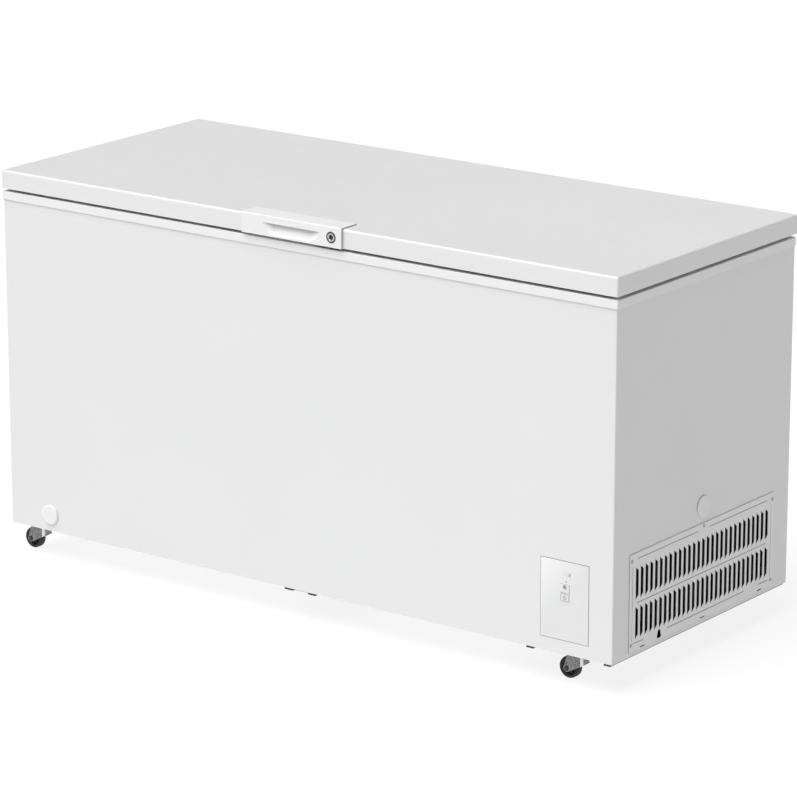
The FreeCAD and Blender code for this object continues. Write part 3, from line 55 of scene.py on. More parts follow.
# ---------------------------------------------------------------- finishes
class Finish:
    """A procedural material: one Principled shader fed by patterns in the object's own metres."""

    def __init__(self, name, colour, roughness, metallic=0.0, **sockets):
        self.material = bpy.data.materials.new(name)
        self.material.use_nodes = True
        self.tree = self.material.node_tree
        self.shader = self.tree.nodes["Principled BSDF"]
        self.colour = colour
        self.shader.inputs["Base Color"].default_value = (*colour, 1.0)
        self.shader.inputs["Roughness"].default_value = roughness
        self.shader.inputs["Metallic"].default_value = metallic
        for socket, value in sockets.items():
            self.shader.inputs[socket.replace("_", " ")].default_value = value
        self.place = self.tree.nodes.new("ShaderNodeTexCoord").outputs["Object"]

    def link(self, source, target):
        self.tree.links.new(source, target)

    def stretched(self, stretch):
        """Object coordinates scaled by axis, which draws a pattern out."""
        mapping = self.tree.nodes.new("ShaderNodeMapping")
        mapping.inputs["Scale"].default_value = stretch
        self.link(self.place, mapping.inputs["Vector"])
        return mapping.outputs["Vector"]

    def noise(self, per_metre, detail=2.0, stretch=None):
        """Soft clouds, so many to the metre."""
        texture = self.tree.nodes.new("ShaderNodeTexNoise")
        texture.inputs["Scale"].default_value = per_metre
        texture.inputs["Detail"].default_value = detail
        self.link(self.stretched(stretch) if stretch else self.place, texture.inputs["Vector"])
        return texture.outputs["Fac"]

    def cells(self, per_metre, output="Distance", feature="F1"):
        """Cells like grains, spangle or pebbles."""
        texture = self.tree.nodes.new("ShaderNodeTexVoronoi")
        texture.feature = feature
        texture.inputs["Scale"].default_value = per_metre
        self.link(self.place, texture.inputs["Vector"])
        return texture.outputs[output]

    def ranged(self, source, low, high, start=0.3, end=0.7):
        """A pattern's values from start to end spread over low to high."""
        span = self.tree.nodes.new("ShaderNodeMapRange")
        for socket, value in (("From Min", start), ("From Max", end), ("To Min", low),
                              ("To Max", high)):
            span.inputs[socket].default_value = value
        self.link(source, span.inputs["Value"])
        return span.outputs["Result"]

    def blended(self, source, first, second, start=0.3, end=0.7):
        """A colour that runs from first to second as the pattern says."""
        mix = self.tree.nodes.new("ShaderNodeMix")
        mix.data_type = "RGBA"
        mix.inputs[6].default_value = (*first, 1.0)
        mix.inputs[7].default_value = (*second, 1.0)
        self.link(self.ranged(source, 0.0, 1.0, start, end), mix.inputs[0])
        return mix.outputs[2]

    def mottled(self, source, darker, lighter, start=0.3, end=0.7):
        """The base colour times darker up to times lighter."""
        shades = [tuple(min(1.0, c * k) for c in self.colour) for k in (darker, lighter)]
        self.link(self.blended(source, *shades, start, end), self.shader.inputs["Base Color"])
        return self

    def tinted(self, source, other, start=0.3, end=0.7):
        """The base colour with patches of another colour."""
        self.link(self.blended(source, self.colour, other, start, end),
                  self.shader.inputs["Base Color"])
        return self

    def painted_bend_highlight(self, other):
        """A painted highlight: another colour where a bend turns between two upright faces, by the
        surface's own normal.
        """
        normal = self.tree.nodes.new("ShaderNodeSeparateXYZ")
        self.link(self.tree.nodes.new("ShaderNodeTexCoord").outputs["Normal"], normal.inputs[0])
        both = self.tree.nodes.new("ShaderNodeMath")
        both.operation = "MULTIPLY"
        self.link(normal.outputs["X"], both.inputs[0])
        self.link(normal.outputs["Y"], both.inputs[1])
        size = self.tree.nodes.new("ShaderNodeMath")
        size.operation = "ABSOLUTE"
        self.link(both.outputs["Value"], size.inputs[0])
        flat, turned = 0.04, 0.3
        return self.over(size.outputs["Value"], other, flat, turned)

    def painted_groove_shade(self, other, face):
        """Another colour where the surface lies deeper than the face across X: painted shade in the
        grooves and slot walls.
        """
        depth = self.tree.nodes.new("ShaderNodeSeparateXYZ")
        self.link(self.place, depth.inputs[0])
        shallow, deep = 0.4 * MM, 0.7 * MM
        return self.over(depth.outputs["X"], other, face - shallow, face - deep)

    def hollowed(self, other, reach):
        """Another colour where walls within reach close the surface in: the shade of a hollow."""
        hollow = self.tree.nodes.new("ShaderNodeAmbientOcclusion")
        hollow.samples = 8
        hollow.inputs["Distance"].default_value = reach
        clear, closed_in = 0.97, 0.5
        return self.over(hollow.outputs["AO"], other, clear, closed_in)

    def over(self, source, other, start, end):
        """Another colour laid over the base colour as the source goes from start to end."""
        base = self.shader.inputs["Base Color"]
        mix = self.tree.nodes.new("ShaderNodeMix")
        mix.data_type = "RGBA"
        mix.inputs[7].default_value = (*other, 1.0)
        self.link(base.links[0].from_socket, mix.inputs[6])
        self.link(self.ranged(source, 0.0, 1.0, start, end), mix.inputs[0])
        self.link(mix.outputs[2], base)
        return self

    def varied(self, source, low, high):
        """Roughness from low to high as the pattern says."""
        self.link(self.ranged(source, low, high), self.shader.inputs["Roughness"])
        return self

    def relief(self, source, depth, strength=1.0):
        """Raises the surface by the pattern, depth metres at most, over any earlier relief."""
        bump = self.tree.nodes.new("ShaderNodeBump")
        bump.inputs["Distance"].default_value = depth
        bump.inputs["Strength"].default_value = strength
        self.link(source, bump.inputs["Height"])
        earlier = self.shader.inputs["Normal"]
        if earlier.is_linked:
            self.link(earlier.links[0].from_socket, bump.inputs["Normal"])
        self.link(bump.outputs["Normal"], earlier)
        return self

    def soft_edges(self, radius):
        """Rounds sharp edges in the shading, as paint or moulding does."""
        bevel = self.tree.nodes.new("ShaderNodeBevel")
        bevel.samples = 4
        bevel.inputs["Radius"].default_value = radius
        self.link(bevel.outputs["Normal"], self.shader.inputs["Normal"])
        return self


def white_enamel():
    """Baked white paint with orange peel."""
    finish = Finish("white_enamel", (0.715, 0.718, 0.718), 0.42, Coat_Weight=0.15,
                    Coat_Roughness=0.25)
    finish.mottled(finish.noise(3.0), 0.992, 1.008)
    finish.varied(finish.noise(60.0, 4.0), 0.38, 0.47)
    return finish.relief(finish.noise(420.0), 0.05 * MM, 0.35)


def white_plastic(name, edge):
    """Moulded white plastic with a fine spark-eroded grain and edges of that radius."""
    finish = Finish(name, (0.765, 0.768, 0.768), 0.48).soft_edges(edge)
    finish.mottled(finish.noise(6.0), 0.99, 1.01)
    finish.varied(finish.noise(180.0, 3.0), 0.42, 0.55)
    return finish.relief(finish.cells(1600.0), 0.03 * MM, 0.3)


def lid_lining():
    """White vacuum-formed sheet with a pebbled face."""
    finish = Finish("lid_lining", (0.74, 0.745, 0.75), 0.45)
    finish.mottled(finish.noise(5.0), 0.985, 1.01)
    finish.varied(finish.noise(90.0, 3.0), 0.38, 0.52)
    return finish.relief(finish.cells(420.0, feature="SMOOTH_F1"), 0.2 * MM, 0.35)


def glossy_white(name, colour):
    """Clear-coated panel plastic with a painted highlight, a little brighter at its upper left."""
    finish = Finish(name, colour, 0.22, Coat_Weight=0.8, Coat_Roughness=0.06)
    low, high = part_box("panel_fascia")
    slope = finish.tree.nodes.new("ShaderNodeVectorMath")
    slope.operation = "DOT_PRODUCT"
    across = Vector((-1.0, 0.0, 0.9)).normalized()
    slope.inputs[1].default_value = across
    finish.link(finish.place, slope.inputs[0])
    dark, light = across.dot((high.x, 0, low.z)), across.dot((low.x, 0, high.z))
    middle = dark + (light - dark) * 0.55
    # Painted highlight: the colour grows lighter towards the fascia's upper left.
    finish.mottled(slope.outputs["Value"], 0.985, 1.19, middle, light)
    return finish.varied(finish.noise(40.0, 3.0), 0.16, 0.26)


def galvanised(name, colour, grains):
    """Zinc with fine, faint spangle and a rolled grain."""
    finish = Finish(name, colour, 0.42, 0.85).soft_edges(0.4 * MM)
    finish.mottled(finish.cells(grains, "Color"), 0.955, 1.03)
    finish.varied(finish.noise(grains * 2.0, 3.0), 0.3, 0.52)
    return finish.relief(finish.noise(900.0, 2.0, (1.0, 1.0, 0.1)), 0.04 * MM, 0.3)


def stamped_zinc():
    """Dark zinc with coarse spangle and a painted highlight where the sheet is bent; the dark base
    colour is a painted dark reflection on the flat faces.
    """
    # Dark base colour: a painted dark reflection on the fork's flat faces.
    finish = Finish("fork_zinc", (0.23, 0.23, 0.235), 0.45, 0.35).soft_edges(0.3 * MM)
    finish.mottled(finish.cells(620.0, "Color"), 0.55, 1.55)
    # Painted highlight along the fork's rounded bend.
    finish.painted_bend_highlight((0.93, 0.93, 0.94))
    finish.varied(finish.noise(600.0, 3.0), 0.34, 0.56)
    return finish.relief(finish.noise(1200.0, 2.0), 0.05 * MM, 0.35)


def stucco_aluminium():
    """Embossed aluminium lining."""
    finish = Finish("liner_aluminium", (0.50, 0.505, 0.512), 0.55, 0.3)
    finish.mottled(finish.noise(14.0, 3.0), 0.94, 1.04)
    finish.varied(finish.noise(50.0, 3.0), 0.50, 0.62)
    return finish.relief(finish.cells(95.0, feature="SMOOTH_F1"), 0.9 * MM, 0.5)


def foam():
    """Cream polyurethane foam with open cells."""
    finish = Finish("foam", (0.68, 0.58, 0.34), 0.9)
    finish.mottled(finish.noise(30.0, 4.0), 0.85, 1.1)
    return finish.relief(finish.cells(700.0), 0.5 * MM, 0.6)


def coated_metal(name, colour, roughness):
    """Powder-coated steel or aluminium."""
    finish = Finish(name, colour, roughness, Coat_Weight=0.1).soft_edges(0.5 * MM)
    finish.mottled(finish.noise(25.0, 4.0), 0.8, 1.25)
    finish.varied(finish.noise(120.0, 3.0), roughness * 0.85, roughness * 1.2)
    return finish.relief(finish.noise(1100.0), 0.05 * MM, 0.4)


def dull_plastic(name, colour):
    """Textured engineering plastic."""
    finish = Finish(name, colour, 0.6).soft_edges(0.4 * MM)
    finish.mottled(finish.noise(20.0, 3.0), 0.88, 1.12)
    finish.varied(finish.noise(150.0, 3.0), 0.52, 0.7)
    return finish.relief(finish.cells(1800.0), 0.05 * MM, 0.4)


def rubber(name, colour):
    """Soft rubber with a dusty bloom."""
    finish = Finish(name, colour, 0.72)
    finish.mottled(finish.noise(35.0, 5.0), 0.8, 1.35)
    finish.varied(finish.noise(220.0, 3.0), 0.62, 0.82)
    return finish.relief(finish.noise(2200.0), 0.04 * MM, 0.5)


def copper():
    """Drawn copper tube, browned in patches."""
    finish = Finish("copper", (0.66, 0.30, 0.17), 0.32, 1.0)
    finish.tinted(finish.noise(45.0, 5.0), (0.30, 0.14, 0.09), 0.45, 0.75)
    return finish.varied(finish.noise(160.0, 3.0), 0.22, 0.46)


def bright_steel(name, colour, roughness):
    """Plated steel with fine turning marks and worn spots."""
    finish = Finish(name, colour, roughness, 1.0).soft_edges(0.25 * MM)
    finish.mottled(finish.noise(300.0, 4.0), 0.78, 1.08)
    finish.varied(finish.noise(700.0, 3.0), roughness * 0.7, roughness * 1.5)
    return finish.relief(finish.noise(2500.0), 0.02 * MM, 0.3)


def board_green():
    """Solder mask over darker copper tracks."""
    finish = Finish("board_green", (0.02, 0.13, 0.06), 0.35)
    finish.tinted(finish.cells(180.0), (0.03, 0.22, 0.10), 0.2, 0.5)
    return finish.varied(finish.noise(400.0), 0.28, 0.45)


def coated_wire():
    """White vinyl dip over steel wire."""
    finish = Finish("wire_white", (0.78, 0.785, 0.78), 0.35)
    finish.mottled(finish.noise(30.0, 3.0), 0.96, 1.02)
    finish.varied(finish.noise(260.0, 3.0), 0.28, 0.44)
    return finish.relief(finish.noise(500.0), 0.1 * MM, 0.4)


def ink(name, colour):
    """Screen-printed ink, a little uneven."""
    finish = Finish(name, colour, 0.5)
    finish.mottled(finish.noise(900.0, 3.0), 0.9, 1.1)
    return finish.varied(finish.noise(500.0), 0.42, 0.6)


FINISHES = {
    "white_enamel": white_enamel(),
    "zinc_sheet": galvanised("zinc_sheet", (0.50, 0.51, 0.52), 190.0),
    "foam": foam(),
    "liner_aluminium": stucco_aluminium(),
    "white_plastic": white_plastic("white_plastic", 0.6 * MM),
    "fascia_plastic": glossy_white("fascia_plastic", (0.695, 0.698, 0.70)),
    "button_plastic": glossy_white("button_plastic", (0.71, 0.713, 0.714)),
    # Dark grey bezel plastic, made near-black as painted shade in the gap round the fascia.
    "grey_plastic": dull_plastic("grey_plastic", (0.075, 0.078, 0.08)),
    "black_steel": coated_metal("black_steel", (0.018, 0.018, 0.02), 0.42),
    "black_plastic": dull_plastic("black_plastic", (0.02, 0.02, 0.022)),
    "condenser_black": coated_metal("condenser_black", (0.02, 0.02, 0.022), 0.5),
    "copper": copper(),
    "rubber": rubber("rubber", (0.04, 0.04, 0.042)),
    "screw_steel": bright_steel("screw_steel", (0.56, 0.57, 0.58), 0.3),
    "chrome": bright_steel("chrome", (0.62, 0.63, 0.64), 0.14),
    "board_green": board_green(),
    "wire_white": coated_wire(),
    "fork_zinc": stamped_zinc(),
    "wheel_black": rubber("wheel_black", (0.022, 0.022, 0.024)),
}
GASKET_GREY = rubber("gasket_grey", (0.10, 0.10, 0.105))
LID_LINING = lid_lining()
GRILLE_PLASTIC = white_plastic("grille_plastic", 0.2 * MM)
# Painted shade: the grille's grooves and slot walls are darkened where they lie deeper than its face.
GRILLE_PLASTIC.painted_groove_shade((0.20, 0.20, 0.205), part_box("side_grille")[1].x)
HANDLE_PLASTIC = white_plastic("handle_plastic", 0.6 * MM)
HANDLE_PLASTIC.hollowed((0.42, 0.422, 0.425), 14 * MM)
HINGE_ZINC = bright_steel("hinge_zinc", (0.36, 0.365, 0.38), 0.34)
PRINT_GREY = ink("print_grey", (0.03, 0.03, 0.033))
DISPLAY_TINT = ink("display_tint", (0.715, 0.715, 0.685))
DIGIT_GREY = ink("digit_grey", (0.09, 0.092, 0.088))
LAMP_GREY = glossy_white("lamp_grey", (0.22, 0.225, 0.225))


def paint_cad_nodes():
    """CAD nodes take the finish of their material slot, but four take one chosen here."""
    for entry in frame["record"]["subparts"]:
        mesh = frame["nodes"][entry["node"]].data
        mesh.materials.clear()
        mesh.materials.append(FINISHES[entry["material_slot"]].material)
    for node, finish in (("side_grille", GRILLE_PLASTIC), ("lid_handle", HANDLE_PLASTIC),
                         ("hinge_cabinet_leaves", HINGE_ZINC), ("hinge_lid_leaves", HINGE_ZINC)):
        frame["nodes"][node].data.materials[0] = finish.material


# ---------------------------------------------------------------- mesh building
class Shape:
    """Points and faces gathered for one piece."""

    def __init__(self):
        self.points = []
        self.faces = []

    def skin(self, rings, loop=False):
        """Joins rings of equally many points, and closes the two ends unless they meet."""
        start = len(self.points)
        count = len(rings[0])
        for ring in rings:
            self.points.extend(ring)
        for step in range(len(rings) if loop else len(rings) - 1):
            here = start + step * count
            there = start + (step + 1) % len(rings) * count
            for j in range(count):
                k = (j + 1) % count
                self.faces.append((here + j, here + k, there + k, there + j))
        if not loop:
            last = start + (len(rings) - 1) * count
            self.faces.append(tuple(start + j for j in reversed(range(count))))
            self.faces.append(tuple(last + j for j in range(count)))

    def tube(self, path, radius, sides=10, loop=False):
        """A round wire along a path of points."""
        path = [Vector(p) for p in path]
        count = len(path)
        side = None
        rings = []
        for i, point in enumerate(path):
            before = path[(i - 1) % count] if loop or i else point
            after = path[(i + 1) % count] if loop or i < count - 1 else point
            along = (after - before).normalized()
            if side is None:
                side = along.orthogonal().normalized()
            side = (side - along * side.dot(along)).normalized()
            other = along.cross(side)
            rings.append([point + radius * (math.cos(a) * side + math.sin(a) * other)
                          for a in (math.tau * k / sides for k in range(sides))])
        self.skin(rings, loop)

    def lathe(self, profile, origin, axis, steps=32):
        """Turns a closed profile of (radius, along) about an axis through origin."""
        turn = Vector(axis).to_track_quat("Z", "Y")
        rings = []
        for k in range(steps):
            angle = math.tau * k / steps
            rings.append([
                Vector(origin) + turn @ Vector((r * math.cos(angle), r * math.sin(angle), h))
                for r, h in profile])
        self.skin(rings, loop=True)

    def prism(self, outline, origin, axis, low, high):
        """A flat outline in the plane across axis, thickened from low to high along it."""
        turn = Vector(axis).to_track_quat("Z", "Y")
        rings = [[Vector(origin) + turn @ Vector((u, v, h)) for u, v in outline]
                 for h in (low, high)]
        self.skin(rings)


def rounded_path(corners, radius, loop=False, steps=5):
    """The corners joined by straight runs, with an arc of that radius at each turn."""
    corners = [Vector(c) for c in corners]
    count = len(corners)
    path = []
    for i, corner in enumerate(corners):
        if not loop and i in (0, count - 1):
            path.append(corner)
            continue
        come = (corner - corners[i - 1]).normalized()
        leave = (corners[(i + 1) % count] - corner).normalized()
        turn = come.angle(leave)
        trim = radius * math.tan(turn / 2)
        start = corner - come * trim
        inward = (leave - come).normalized()
        centre = corner + inward * (radius / math.cos(turn / 2))
        arm = start - centre
        axis = come.cross(leave).normalized()
        for k in range(steps + 1):
            path.append(centre + Matrix.Rotation(turn * k / steps, 3, axis) @ arm)
    return path


def arc(centre, radius, start, end, steps):
    """Points (u, v) on a circle from one angle to another, in degrees."""
    return [(centre[0] + radius * math.cos(math.radians(start + (end - start) * k / steps)),
             centre[1] + radius * math.sin(math.radians(start + (end - start) * k / steps)))
            for k in range(steps + 1)]


def piece(name, shape, finish, body, replaces=(), sharp=35):
    """Makes a smooth-shaded object of the shape that rides on a body."""
    mesh = bpy.data.meshes.new(name)
    mesh.from_pydata([tuple(p) for p in shape.points], [], shape.faces)
    build = bmesh.new()
    build.from_mesh(mesh)
    bmesh.ops.remove_doubles(build, verts=build.verts, dist=0.002 * MM)
    bmesh.ops.recalc_face_normals(build, faces=build.faces)
    build.to_mesh(mesh)
    build.free()
    mesh.shade_smooth()
    mesh.set_sharp_from_angle(angle=math.radians(sharp))
    mesh.materials.append(finish.material)
    item = bpy.data.objects.new(name, mesh)
    bpy.context.scene.collection.objects.link(item)
    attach(item, body)
    if replaces:
        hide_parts(*replaces)
    return item


def solids(node):
    """The lowest and highest corner of each separate solid of a CAD node."""
    build = bmesh.new()
    build.from_mesh(frame["nodes"][node].data)
    bmesh.ops.remove_doubles(build, verts=build.verts, dist=0.001 * MM)
    boxes = []
    left = set(build.verts)
    while left:
        found = {left.pop()}
        edge = list(found)
        while edge:
            near = {e.other_vert(v) for v in edge for e in v.link_edges} & left
            left -= near
            found |= near
            edge = list(near)
        places = [v.co for v in found]
        boxes.append((Vector(map(min, zip(*places))), Vector(map(max, zip(*places)))))
    build.free()
    return sorted(boxes, key=lambda box: tuple(round(c, 5) for c in box[0]))


# ---------------------------------------------------------------- basket
WIRE = 1.5 * MM
RIM_WIRE = 2.5 * MM
MESH_PITCH = 32 * MM
END_MARGIN = 14 * MM
HANGER_START = 24 * MM
HANGER_END = 128 * MM
HANGER_DROP = 16 * MM


def evenly(low, high, pitch):
    count = round((high - low) / pitch)
    return [low + (high - low) * k / count for k in range(count + 1)]


def basket():
    """Round wires: cradles both ways, level hoops, a thicker rim and four hanging brackets."""
    side_low, side_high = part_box("basket_side_grids")
    floor_low, floor_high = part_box("basket_floor_grid")
    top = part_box("basket_end_grids")[1].z
    x_low, x_high = side_low.x + WIRE, side_high.x - WIRE
    y_low, y_high = floor_low.y - WIRE, floor_high.y + WIRE
    z_low = side_low.z + WIRE

    def hoop(inset, z):
        """The corners of a level wire that far inside the basket's sides."""
        return [(x_low + inset, y_low + inset, z), (x_high - inset, y_low + inset, z),
                (x_high - inset, y_high - inset, z), (x_low + inset, y_high - inset, z)]

    wires = Shape()
    for x in evenly(x_low + END_MARGIN, x_high - END_MARGIN, MESH_PITCH):
        wires.tube(rounded_path([(x, y_low, top - RIM_WIRE), (x, y_low, z_low),
                                 (x, y_high, z_low), (x, y_high, top - RIM_WIRE)], 9 * MM), WIRE)
    for y in evenly(y_low + END_MARGIN, y_high - END_MARGIN, MESH_PITCH):
        z = z_low + 2 * WIRE
        wires.tube(rounded_path([(x_low, y, top - RIM_WIRE), (x_low, y, z),
                                 (x_high, y, z), (x_high, y, top - RIM_WIRE)], 9 * MM), WIRE)
    for z in evenly(z_low + MESH_PITCH, top - MESH_PITCH, MESH_PITCH):
        wires.tube(rounded_path(hoop(2 * WIRE, z), 12 * MM, loop=True), WIRE, loop=True)
    piece("basket_wires", wires, FINISHES["wire_white"], "basket",
          ("basket_side_grids", "basket_end_grids", "basket_floor_grid"), sharp=60)
    rim = Shape()
    rim.tube(rounded_path(hoop(RIM_WIRE - WIRE, top - RIM_WIRE), 15 * MM, loop=True), RIM_WIRE, 12,
             loop=True)
    hang = side_high.z - WIRE
    for y, rail in ((y_low, side_low.y + WIRE), (y_high, side_high.y - WIRE)):
        for start, end in ((x_low + HANGER_START, x_low + HANGER_END),
                           (x_high - HANGER_END, x_high - HANGER_START)):
            rim.tube(rounded_path([(start, y, top - HANGER_DROP), (start, y, hang),
                                   (start, rail, hang), (end, rail, hang), (end, y, hang),
                                   (end, y, top - HANGER_DROP)], 5 * MM), WIRE)
    piece("basket_rim", rim, FINISHES["wire_white"], "basket", sharp=60)


# ---------------------------------------------------------------- lid underside
def lid_seal():
    """Bulb gasket: a foot in the lid, a pleated side and a round magnet tube, swept round."""
    low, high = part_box("lid_gasket")
    half = 7 * MM
    depth = high.z - low.z
    radius = 10 * MM
    profile_height = 5.1 * MM
    profile = [(-6.8, 0.0), (-6.8, 1.0), (-4.6, 1.3), (-5.6, 1.9), (-4.4, 2.5), (-5.9, 3.2)]
    profile += arc((-4.3, 3.9), 1.2, 200, 90, 4)
    profile += arc((4.3, 3.9), 1.2, 90, -20, 4)
    profile += [(4.4, 2.5), (5.6, 1.9), (4.6, 1.3), (6.8, 1.0), (6.8, 0.0)]
    scale = depth / profile_height
    corners = [(low.x + half, low.y + half), (high.x - half, low.y + half),
               (high.x - half, high.y - half), (low.x + half, high.y - half)]
    rings = []
    for k, (x, y) in enumerate(corners):
        heading = math.radians(180 + 90 * k)
        centre = Vector((x, y)) - radius * Vector(
            (math.cos(heading) + math.cos(heading + math.pi / 2),
             math.sin(heading) + math.sin(heading + math.pi / 2)))
        for step in range(9):
            angle = heading + math.pi / 2 * step / 8
            out = Vector((math.cos(angle), math.sin(angle)))
            rings.append([
                (*(centre + out * (radius + u * MM)), high.z - v * MM * scale)
                for u, v in profile])
    shape = Shape()
    shape.skin([[Vector(p) for p in ring] for ring in rings], loop=True)
    piece("lid_seal", shape, GASKET_GREY, "lid", ("lid_gasket",), sharp=50)


def smooth_step(value):
    value = max(0.0, min(1.0, value))
    return value * value * (3 - 2 * value)


def lid_lining_panel():
    """Vacuum-formed inner panel with three raised fields inside a border rib."""
    low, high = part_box("lid_liner")
    seal_low, seal_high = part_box("lid_gasket")
    rise = 3.2 * MM
    slope = 7 * MM
    corner = 26 * MM
    border = 48 * MM
    groove_inset = 22 * MM
    field_y = (seal_low.y + border, seal_high.y - border)
    field_x = evenly(seal_low.x + border, seal_high.x - border,
                     (seal_high.x - seal_low.x - 2 * border) / 3)
    gap = 17 * MM
    fields = [(a + (gap if i else 0), b - (gap if i < 2 else 0))
              for i, (a, b) in enumerate(zip(field_x, field_x[1:]))]

    def inside(x, y, x_low, x_high, y_low, y_high, radius):
        """How far a point is inside a rounded rectangle."""
        dx = max(x_low + radius - x, x - x_high + radius)
        dy = max(y_low + radius - y, y - y_high + radius)
        if dx > 0 and dy > 0:
            return radius - math.hypot(dx, dy)
        return radius - max(dx, dy)

    def drop(x, y):
        depth = 0.0
        for a, b in fields:
            edge = inside(x, y, a, b, *field_y, corner)
            depth = max(depth, smooth_step(edge / slope))
            groove = smooth_step((edge - groove_inset) / slope) * 0.5
            depth = min(depth, 1.0 - groove) if edge > 0 else depth
        return rise * depth

    def lines(start, end, edges):
        marks = {start, end}
        step = 2.4 * MM
        for edge in edges:
            marks.update(edge + side * k * step for side in (1, -1) for k in range(16)
                         if start < edge + side * k * step < end)
        kept = []
        for mark in sorted(marks):
            if not kept or mark - kept[-1] > 0.4 * MM:
                kept.append(mark)
        return kept

    xs = lines(low.x, high.x, [edge for field in fields for edge in field])
    ys = lines(low.y, high.y, field_y)
    shape = Shape()
    for x in xs:
        for y in ys:
            shape.points.append(Vector((x, y, low.z - drop(x, y))))
    for x in xs:
        for y in ys:
            shape.points.append(Vector((x, y, high.z - drop(x, y))))
    rows = len(ys)
    top = len(xs) * rows
    for i in range(len(xs) - 1):
        for j in range(rows - 1):
            a = i * rows + j
            shape.faces.append((a, a + rows, a + rows + 1, a + 1))
            shape.faces.append((top + a, top + a + 1, top + a + rows + 1, top + a + rows))
    edge = list(range(rows))
    edge += [i * rows + rows - 1 for i in range(1, len(xs))]
    edge += [(len(xs) - 1) * rows + j for j in reversed(range(rows - 1))]
    edge += [i * rows for i in reversed(range(1, len(xs) - 1))]
    for here, there in zip(edge, edge[1:] + edge[:1]):
        shape.faces.append((here, there, top + there, top + here))
    piece("lid_inner_panel", shape, LID_LINING, "lid", ("lid_liner",), sharp=60)


# ---------------------------------------------------------------- screws and bolts
LEAF_THICK = 2.5 * MM
LEAF_SCREW_SIDES = (-25 * MM, 25 * MM)
LEAF_SCREW_RISES = (25 * MM, 85 * MM)
LEAF_SCREW_RADIUS = 5 * MM
LEAF_SCREW_HEIGHT = 2.2 * MM


def pan_screw(shape, centre, axis, radius, height):
    """A domed head with a cross recess, standing on the plane through centre."""
    rim = 0.25 * height
    dome = [(0.0, -0.3 * height), (radius, -0.3 * height), (radius, rim)]
    dome += [(radius * math.cos(math.radians(a)), rim + (height - rim) * math.sin(math.radians(a)))
             for a in (15, 30, 45, 60, 75)]
    dome.append((0.0, height))
    shape.lathe(dome, centre, axis, 24)


def sink(item, cutter):
    """Takes a closed shape out of a piece."""
    tool = piece(item.name + "_cutter", cutter, FINISHES["screw_steel"], "cabinet")
    boolean = item.modifiers.new("recess", "BOOLEAN")
    boolean.operation = "DIFFERENCE"
    boolean.object = tool
    bpy.context.view_layer.update()
    graph = bpy.context.evaluated_depsgraph_get()
    mesh = bpy.data.meshes.new_from_object(item.evaluated_get(graph), depsgraph=graph)
    item.modifiers.remove(boolean)
    item.data = mesh
    bpy.data.objects.remove(tool)


def cross_cut(item, marks):
    """Sinks a cross recess into each head."""
    cutter = Shape()
    for centre, axis, radius, height in marks:
        reach = radius * 0.62
        arm = radius * 0.13
        outline = [(arm, arm), (arm, reach), (-arm, reach), (-arm, arm), (-reach, arm),
                   (-reach, -arm), (-arm, -arm), (-arm, -reach), (arm, -reach), (arm, -arm),
                   (reach, -arm), (reach, arm)]
        cutter.prism(outline, centre, axis, height * 0.25, height * 2)
    sink(item, cutter)


def screws(name, marks, replaced=()):
    """Cross-head screws at the marks, as one piece of the cabinet."""
    shape = Shape()
    for mark in marks:
        pan_screw(shape, *mark)
    heads = piece(name, shape, FINISHES["screw_steel"], "cabinet", replaced, sharp=50)
    cross_cut(heads, marks)


def screw_heads():
    """Cross-head screws of the air grille and the rear cover, and those of the hinges."""
    marks = []
    for low, high in solids("cover_screws"):
        size = high - low
        middle = (low + high) / 2
        if size.x < size.y:
            marks.append((Vector((low.x, middle.y, middle.z)), (1, 0, 0), size.y / 2, size.x))
        else:
            marks.append((Vector((middle.x, low.y, middle.z)), (0, 1, 0), size.x / 2, size.y))
    screws("cover_screw_heads", marks, ("cover_screws",))
    marks = []
    for low, high in solids("hinge_cabinet_leaves"):
        for side in LEAF_SCREW_SIDES:
            for rise in LEAF_SCREW_RISES:
                spot = Vector(((low.x + high.x) / 2 + side, low.y + LEAF_THICK, low.z + rise))
                marks.append((spot, (0, 1, 0), LEAF_SCREW_RADIUS, LEAF_SCREW_HEIGHT))
    screws("hinge_screw_heads", marks)


